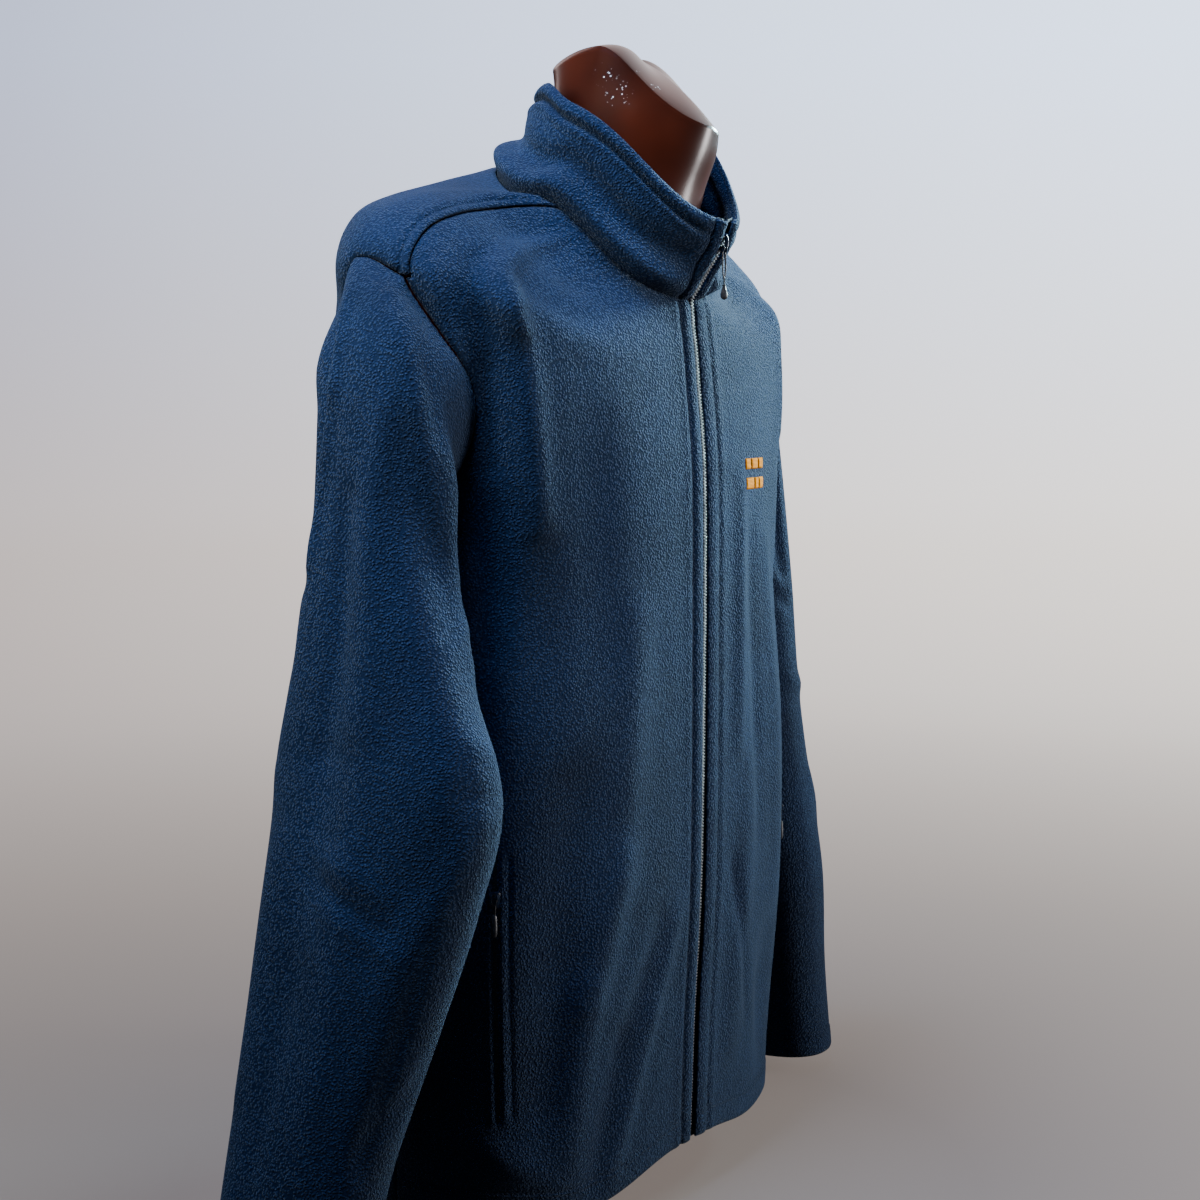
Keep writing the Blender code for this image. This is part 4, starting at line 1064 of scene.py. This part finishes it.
def sliderPiece(name, node, hinge, across, up, out, half=0.0055, pinUp=0.0025):
    s = sliderSizes
    plate = roundedBox((-0.004, -half, 0.0004), (0.004, half - 0.0003, 0.0016), 0.0005)
    for v in plate.verts:  # the slider narrows towards the open end
        v.co.x *= 1 - 0.3 * max(0.0, -v.co.y / half)
        v.co.z += 0.0006 * max(0.0, 1 - (v.co.x / 0.0038) ** 2)
    parts = [plate]
    for x0, x1 in s["lugs"]:
        parts.append(roundedBox((x0, pinUp - 0.0017, 0.0014), (x1, pinUp + 0.0017, 0.0066), 0.0005))
    turn = np.linspace(0, 1, 5)
    pin = [-s["pinHalf"] + 2 * s["pinHalf"] * turn, 0 * turn + pinUp, 0 * turn + s["pinOut"]]
    parts.append(tube(np.stack(pin, -1), s["pinRadius"]))
    for x in s["sides"]:
        parts.append(roundedBox((x - 0.0004, 0.0007 - half, -0.0012), (x + 0.0004, half - 0.0009, 0.0012), 0.0003, 2))
    if pinUp < 0:  # the crown over the lugs of the big slider
        rise = np.linspace(0, 1, 14)
        crown = [0 * rise, pinUp + 0.002 + (half - 0.003 - pinUp) * rise, 0.0018 + 0.0042 * (1 - rise**2.2)]
        parts.append(tube(np.stack(crown, -1), 0.0017 - 0.0004 * rise, 12))
    bm = merged([(part, 0) for part in parts])
    place = Vector(hinge) - Vector(up) * pinUp - Vector(out) * s["pinOut"]
    bmesh.ops.transform(bm, matrix=placeAt(place, across, up, out), verts=bm.verts)
    bmesh.ops.recalc_face_normals(bm, faces=bm.faces)
    return addPiece(name, bm, [hard["sliderNavy"]], [node])


def ovalLoop(top, bottom, halfWidth, count=36):
    t = np.linspace(0, 2 * np.pi, count, endpoint=False)
    z = (top + bottom) / 2 + (top - bottom) / 2 * np.cos(t)
    x = halfWidth * np.sign(np.sin(t)) * np.abs(np.sin(t)) ** 0.7
    return xyz(x, 0 * x, z)


def bead(profile, sides=16):  # a turned shape from millimetres of radius and height
    turn = np.linspace(0, 2 * np.pi, sides + 1)
    r, z = np.array(profile, float).T[..., None] / 1000
    points = xyz(r * np.cos(turn), r * np.sin(turn), np.repeat(z, sides + 1, 1))
    normals = xyz(np.cos(turn), np.sin(turn), 0 * turn)[None] + 0 * points
    return sheetGrid(points, normals, wrap=True)


# A pull: its wire loop, two strands that pass over the loop's lower bend, a knot and a bead.
pullSizes = {
    "loopTop": 0.00165, "strand": 0.00045,
    "cord": {
        "loop": (-0.0195, 0.0021, 0.00055), "strands": (-0.0185, 0.0064, 0.001, 1.0, 1.2),
        "knot": [(0, -24), (1, -24.3), (1.3, -25), (1, -25.8), (0, -26.1)],
        "bead": [
            (0, -24.8), (0.9, -24.9), (1.3, -26.2), (1.9, -28.6), (2.5, -31), (2.6, -32.8), (1.8, -34.4), (0, -35)
        ],
    },
    "short": {
        "loop": (-0.0055, 0.0017, 0.0005), "strands": (-0.0046, 0.0076, 0.0009, 0.6, 1.0),
        "bead": [
            (0, -11.8), (1.3, -11.9), (1.7, -13), (1.9, -17), (2, -22), (1.8, -25.5), (1.1, -26.8), (0, -27)
        ],
    },
}


def pullPiece(name, node, body, hinge, across, kind):
    p = pullSizes[kind]
    down = np.linspace(0, 1, 12)
    loopEnd, loopHalf, wire = p["loop"]
    parts = [(tube(ovalLoop(pullSizes["loopTop"], loopEnd, loopHalf), wire, 8, True), 0)]
    top, fall, apart, closing, power = p["strands"]
    for x in (-apart, apart):
        strand = xyz(x * (1 - closing * down) ** power, 0 * down, top - fall * down)
        parts.append((tube(strand, pullSizes["strand"], 8), 1))
    if "knot" in p:
        parts.append((bead(p["knot"], 12), 1))
    parts.append((bead(p["bead"], 16 if kind == "cord" else 14), 2))
    bm = merged(parts)
    forward = Vector((0, 0, 1)).cross(Vector(across))
    bmesh.ops.transform(bm, matrix=placeAt(hinge, across, forward, (0, 0, 1)), verts=bm.verts)
    bmesh.ops.recalc_face_normals(bm, faces=bm.faces)
    finishes = [hard[key] for key in ("loopSteel", "cordBlack", "beadRubber")]
    return addPiece(name, bm, finishes, [node], body)


joints = {j["child"]: j for j in frame["joints"]}
steep = Vector(stand(3.0, 3.0, left)[0] - stand(2.4, 3.0, left)[0])
steep.x = 0
zipUp = steep.normalized()
zipFace = Vector((0, -zipUp.z, zipUp.y))
hinge = joints["main_pull"]["pos_m"]
sliderPiece("mainSlider", "main_zip_slider", hinge, (1, 0, 0), zipUp, zipFace, 0.0065, -0.0045)
pullPiece("mainPull", "main_zip_pull", "main_pull", hinge, (1, 0, 0), "cord")
for side, word in sideWords.items():
    child = word.lower() + "_pull"
    hinge = joints[child]["pos_m"]
    up = Vector((0, 0, 1))
    out = Vector((side * 0.778626, -0.627488, 0)).normalized()
    across = up.cross(out)
    sliderPiece("pocketSlider" + word, "pocket_slider_" + word.lower(), hinge, across, up, out)
    pullPiece("pocketPull" + word, "pocket_pull_" + word.lower(), child, hinge, across, "short")
print("sliders and pulls made")

# A plain stitched mark on the left chest

chestMark = {
    "x": 0.081,
    "rows": [(0.535, 0.008, (0.0098, 0.013, 0.01)), (0.5205, 0.0085, (0.016, 0.0075, 0.0093))],
    "gap": 0.0016, "high": 0.0009, "thick": 0.0004,
}


def chestPiece():
    m = chestMark
    parts = []
    for z, tall, widths in m["rows"]:
        x = m["x"] - (sum(widths) + m["gap"] * (len(widths) - 1)) / 2
        for wide in widths:
            u, v = np.meshgrid(np.linspace(-1, 1, 13), np.linspace(-1, 1, 11))
            px, pz = x + wide * (u + 1) / 2, z + tall / 2 * v
            angle = np.full(px.shape, 38.0)
            s = np.full(px.shape, 5.0)
            for _ in range(12):  # finds the place on the cloth for each x and z
                at = torso(s, angle, left)[0]
                angle = angle + (px - at[..., 0]) / 0.0022
                s = s + (pz - at[..., 2]) / 0.075
            points, n = torso(s, angle, left)
            dome = within((1 - np.abs(u) ** 6) * (1 - np.abs(v) ** 6)) ** 0.5
            parts.append((sheetGrid(points + n * (0.0001 + m["high"] * dome)[..., None], n), 0))
            x += wide + m["gap"]
    addWall(addPiece("chestMark", merged(parts, True), [satinYellow]), m["thick"])


chestPiece()

# The dress form

formSizes = {
    "foot": {
        "footBase": (0, 0, 0, 110, -48, 12, 75, 2.2, 1), "footTop": (26, 26, 26, 108, -46, 12, 73, 2.2, 1),
        "under": (29, 28, 28, 172, -80, 5, 92, 2.4, 1), "edge": (34, 32, 32, 184, -92, 5, 103, 2.5, 1),
    },
    "ease": [12, 12, 13, 14, 11, 9.5, 8, 6, 4, 3, 3, 3, 3.4, 4.8],  # millimetres inside the cloth, ring by ring
    "neck": {
        "root": (657, 730, 758, 66, -96, -38, 16, 2, 1.5), "low": (692, 754, 780, 60, -104, -44, 6, 2, 1.2),
        "middle": (727, 772, 796, 56, -113, -52, -4, 2, 1),
        "high": (754, 799, 806, 51, -124, -60, -3.5, 2, 0.5),
        "edge": (772, 829, 818, 43, -129, -60, 0.8, 2, 0.01),
    },
    "lean": 0.38, "dome": 0.019,
}


def wholeRing(make):
    a, b = make(right), make(left)
    return joined([a, b[-2::-1]], -2)


def formPiece():
    f = formSizes
    half = np.linspace(0, 180, 61)
    clear = fleece["thick"] + 0.002 * within(1 - (half - 8) / 8)
    loops = [wholeRing(lambda side: ringPoint(size, half, side)) for size in ringTable(f["foot"])]
    for s in joined([np.linspace(0.12, 4.5, 50), np.linspace(4.6, 13, 60)]):

        def inside(side):
            at = np.full(half.shape, s)
            n = outwardOf(torsoBase, at, np.clip(half, 0.2, 179.8), side)
            n[[0, -1], 0] = 0
            return torsoBase(at, half, side) - n * (clear + spline(f["ease"], s) / 1000)[:, None]

        loops.append(wholeRing(inside))
    neck = ringTable(f["neck"])
    for s in np.linspace(0, 4, 26):
        ring = wholeRing(lambda side: ringPoint(spline(neck, s), half, side))
        ring[:, 2] -= f["lean"] * within((s - 2) / 2) * np.clip(ring[:, 0], 0, None)
        loops.append(ring)
    rim = loops[-1]
    middle = rim[:-1].mean(0)
    up = unit(np.cross((1.0, 0, 0), rim[0] - rim[60]))
    up = up * np.sign(up[2])
    for share in joined([[0.995, 0.985, 0.97], np.linspace(0.94, 0, 14)]):
        loops.append(middle + (rim - middle) * share + up * f["dome"] * (1 - share**2))
    loops.insert(0, np.repeat(loops[0].mean(0)[None], 121, 0))
    points = np.stack(loops)
    normals = unit(points - points.mean(1, keepdims=True) + 1e-9)
    addPiece("dressForm", sheetGrid(points, normals, wrap=True), [formGloss], ["dress_form"])


formPiece()
print("dress form made")

# Studio

studio = {
    # floor is the paper's own colour under the lamps; near, low, high and sides colour its glow, all painted light:
    # painted shade on the floor round the middle, brighter floor further out, the wall above, and a fall of light
    # from the picture's left to its right
    "floor": (0.088, 0.08, 0.077), "near": (0.096, 0.086, 0.081), "low": (0.7, 0.685, 0.68),
    "high": (0.72, 0.9, 1.24), "sides": ((0.6, 0.535, 0.525), (1.42, 1.36, 1.3)),
    "across": (0.558, -0.83, 0),  # from the picture's left to its right
    "glow": 1.85, "flat": 2.4, "curve": 2.2, "wall": 5.0, "world": (0.92, 0.94, 1.0), "worldStrength": 0.044,
}


def backdrop():  # a pale round studio that lights nothing but itself; its glow is painted light, dimmer on the floor round the middle, brighter up the wall and towards the picture's right, and warmer to its left
    s = studio
    turn = np.linspace(0, np.pi / 2, 14)
    reach, curve = s["flat"] + s["curve"], s["curve"]
    distances = [[0.0, 0.4, 0.9, 1.6], s["flat"] + curve * np.sin(turn), [reach] * 3, reach * np.cos(turn[1:])]
    heights = [np.zeros(4), curve - curve * np.cos(turn), [2.8, 3.6, 4.4], s["wall"] + 2.0 * np.sin(turn[1:])]
    distances, heights = joined(distances)[:, None], joined(heights)[:, None] - 0.0004
    angles = np.linspace(0, 2 * np.pi, 73)
    points = xyz(distances * np.cos(angles), distances * np.sin(angles), np.repeat(heights, 73, 1))
    inward = unit(np.array([0.0, 0.0, 1.5]) - points)
    m = Finish("paintedLightPaper", s["floor"], 0.95)
    height = m.add("SeparateXYZ", m.coords).outputs["Z"]
    away = m.add("VectorMath", m.coords, operation="LENGTH").outputs["Value"]
    sideways = m.add("VectorMath", m.coords, operation="DOT_PRODUCT")
    sideways.inputs[1].default_value = s["across"]
    ground = m.mix(m.range(away, 0.3, 3.6), s["near"], s["low"])
    whole = m.mix(m.range(height, 0.25, 1.5), ground, s["high"])
    glow = m.mix(m.range(sideways.outputs["Value"], -1.5, 1.5), *s["sides"])
    m.shade({
        "Emission Color": m.mix(1.0, whole, glow, "MULTIPLY"),
        "Emission Strength": s["glow"],
    })
    obj = meshObject("backdrop", sheetGrid(points, inward, wrap=True), [m.material])
    obj.visible_diffuse = obj.visible_glossy = False


backdrop()

# Each light: place, target, size, energy, colour, spread, whether it shows in gloss.
lights = {
    "keyRight": ((1.62, -0.52, 1.32), (0.08, -0.12, 1.02), (0.5, 0.6), 22.0, (0.6, 0.9, 1.0), 54, True),
    "frontSoft": ((0.9, -1.22, 0.46), (0.04, -0.1, 0.36), (0.35, 0.8), 5.4, (1.0, 0.96, 0.96), 84, True),
    "topSoft": ((-0.42, -0.02, 1.75), (-0.1, -0.05, 0.86), (0.6, 0.6), 6.4, (0.34, 0.58, 1.0), 66, False),
    "sideSoft": ((-1.15, -0.1, 1.32), (-0.28, -0.02, 0.76), (0.5, 0.5), 1.9, (1.0, 0.92, 0.88), 60, False),
    "leftSoft": ((-1.65, 0.85, 1.25), (-0.25, 0.0, 1.02), (0.6, 0.8), 2.0, (1.0, 0.84, 0.7), 50, False),
    "capShine": ((1.25, 0.9, 2.1), (0.0, -0.05, 0.82), (3.0, 2.0), 24.0, (1.0, 0.84, 0.84), 170, True),
}


def softLight(name, place, target, size, energy, colour, spread, glossy):
    data = bpy.data.lights.new(name, "AREA")
    data.shape, data.size, data.size_y = "RECTANGLE", size[0], size[1]
    data.energy, data.color, data.spread = energy, colour, math.radians(spread)
    obj = inScene(name, data)
    obj.location = place
    obj.rotation_euler = (Vector(target) - Vector(place)).to_track_quat("-Z", "Y").to_euler()
    obj.visible_camera, obj.visible_glossy = False, glossy
    obj.visible_diffuse = name != "capShine"  # this one only shines in the gloss


for name, facts in lights.items():
    softLight(name, *facts)
world = bpy.data.worlds.new("studio")
bpy.context.scene.world = world
world.use_nodes = True
feedAll(world.node_tree.nodes["Background"], {"Color": studio["world"], "Strength": studio["worldStrength"]})

cameraView = {"place": (-1.353, -0.9329, 0.585), "yaw": -56.06, "pitch": -5.23, "roll": -0.41, "lens": 66.6}


def makeCamera():
    c = cameraView
    data = bpy.data.cameras.new("camera")
    data.lens, data.sensor_width = c["lens"], 36
    obj = inScene("camera", data)
    a, e, r = (math.radians(c[k]) for k in ("yaw", "pitch", "roll"))
    ahead = Vector((-math.sin(a) * math.cos(e), math.cos(a) * math.cos(e), math.sin(e)))
    aside = Vector((math.cos(a), math.sin(a), 0))
    up = aside.cross(ahead)
    x = aside * math.cos(r) + up * math.sin(r)
    y = up * math.cos(r) - aside * math.sin(r)
    obj.matrix_world = placeAt(c["place"], x, y, -ahead)
    bpy.context.scene.camera = obj


makeCamera()
print("studio made")
bpy.context.view_layer.update()
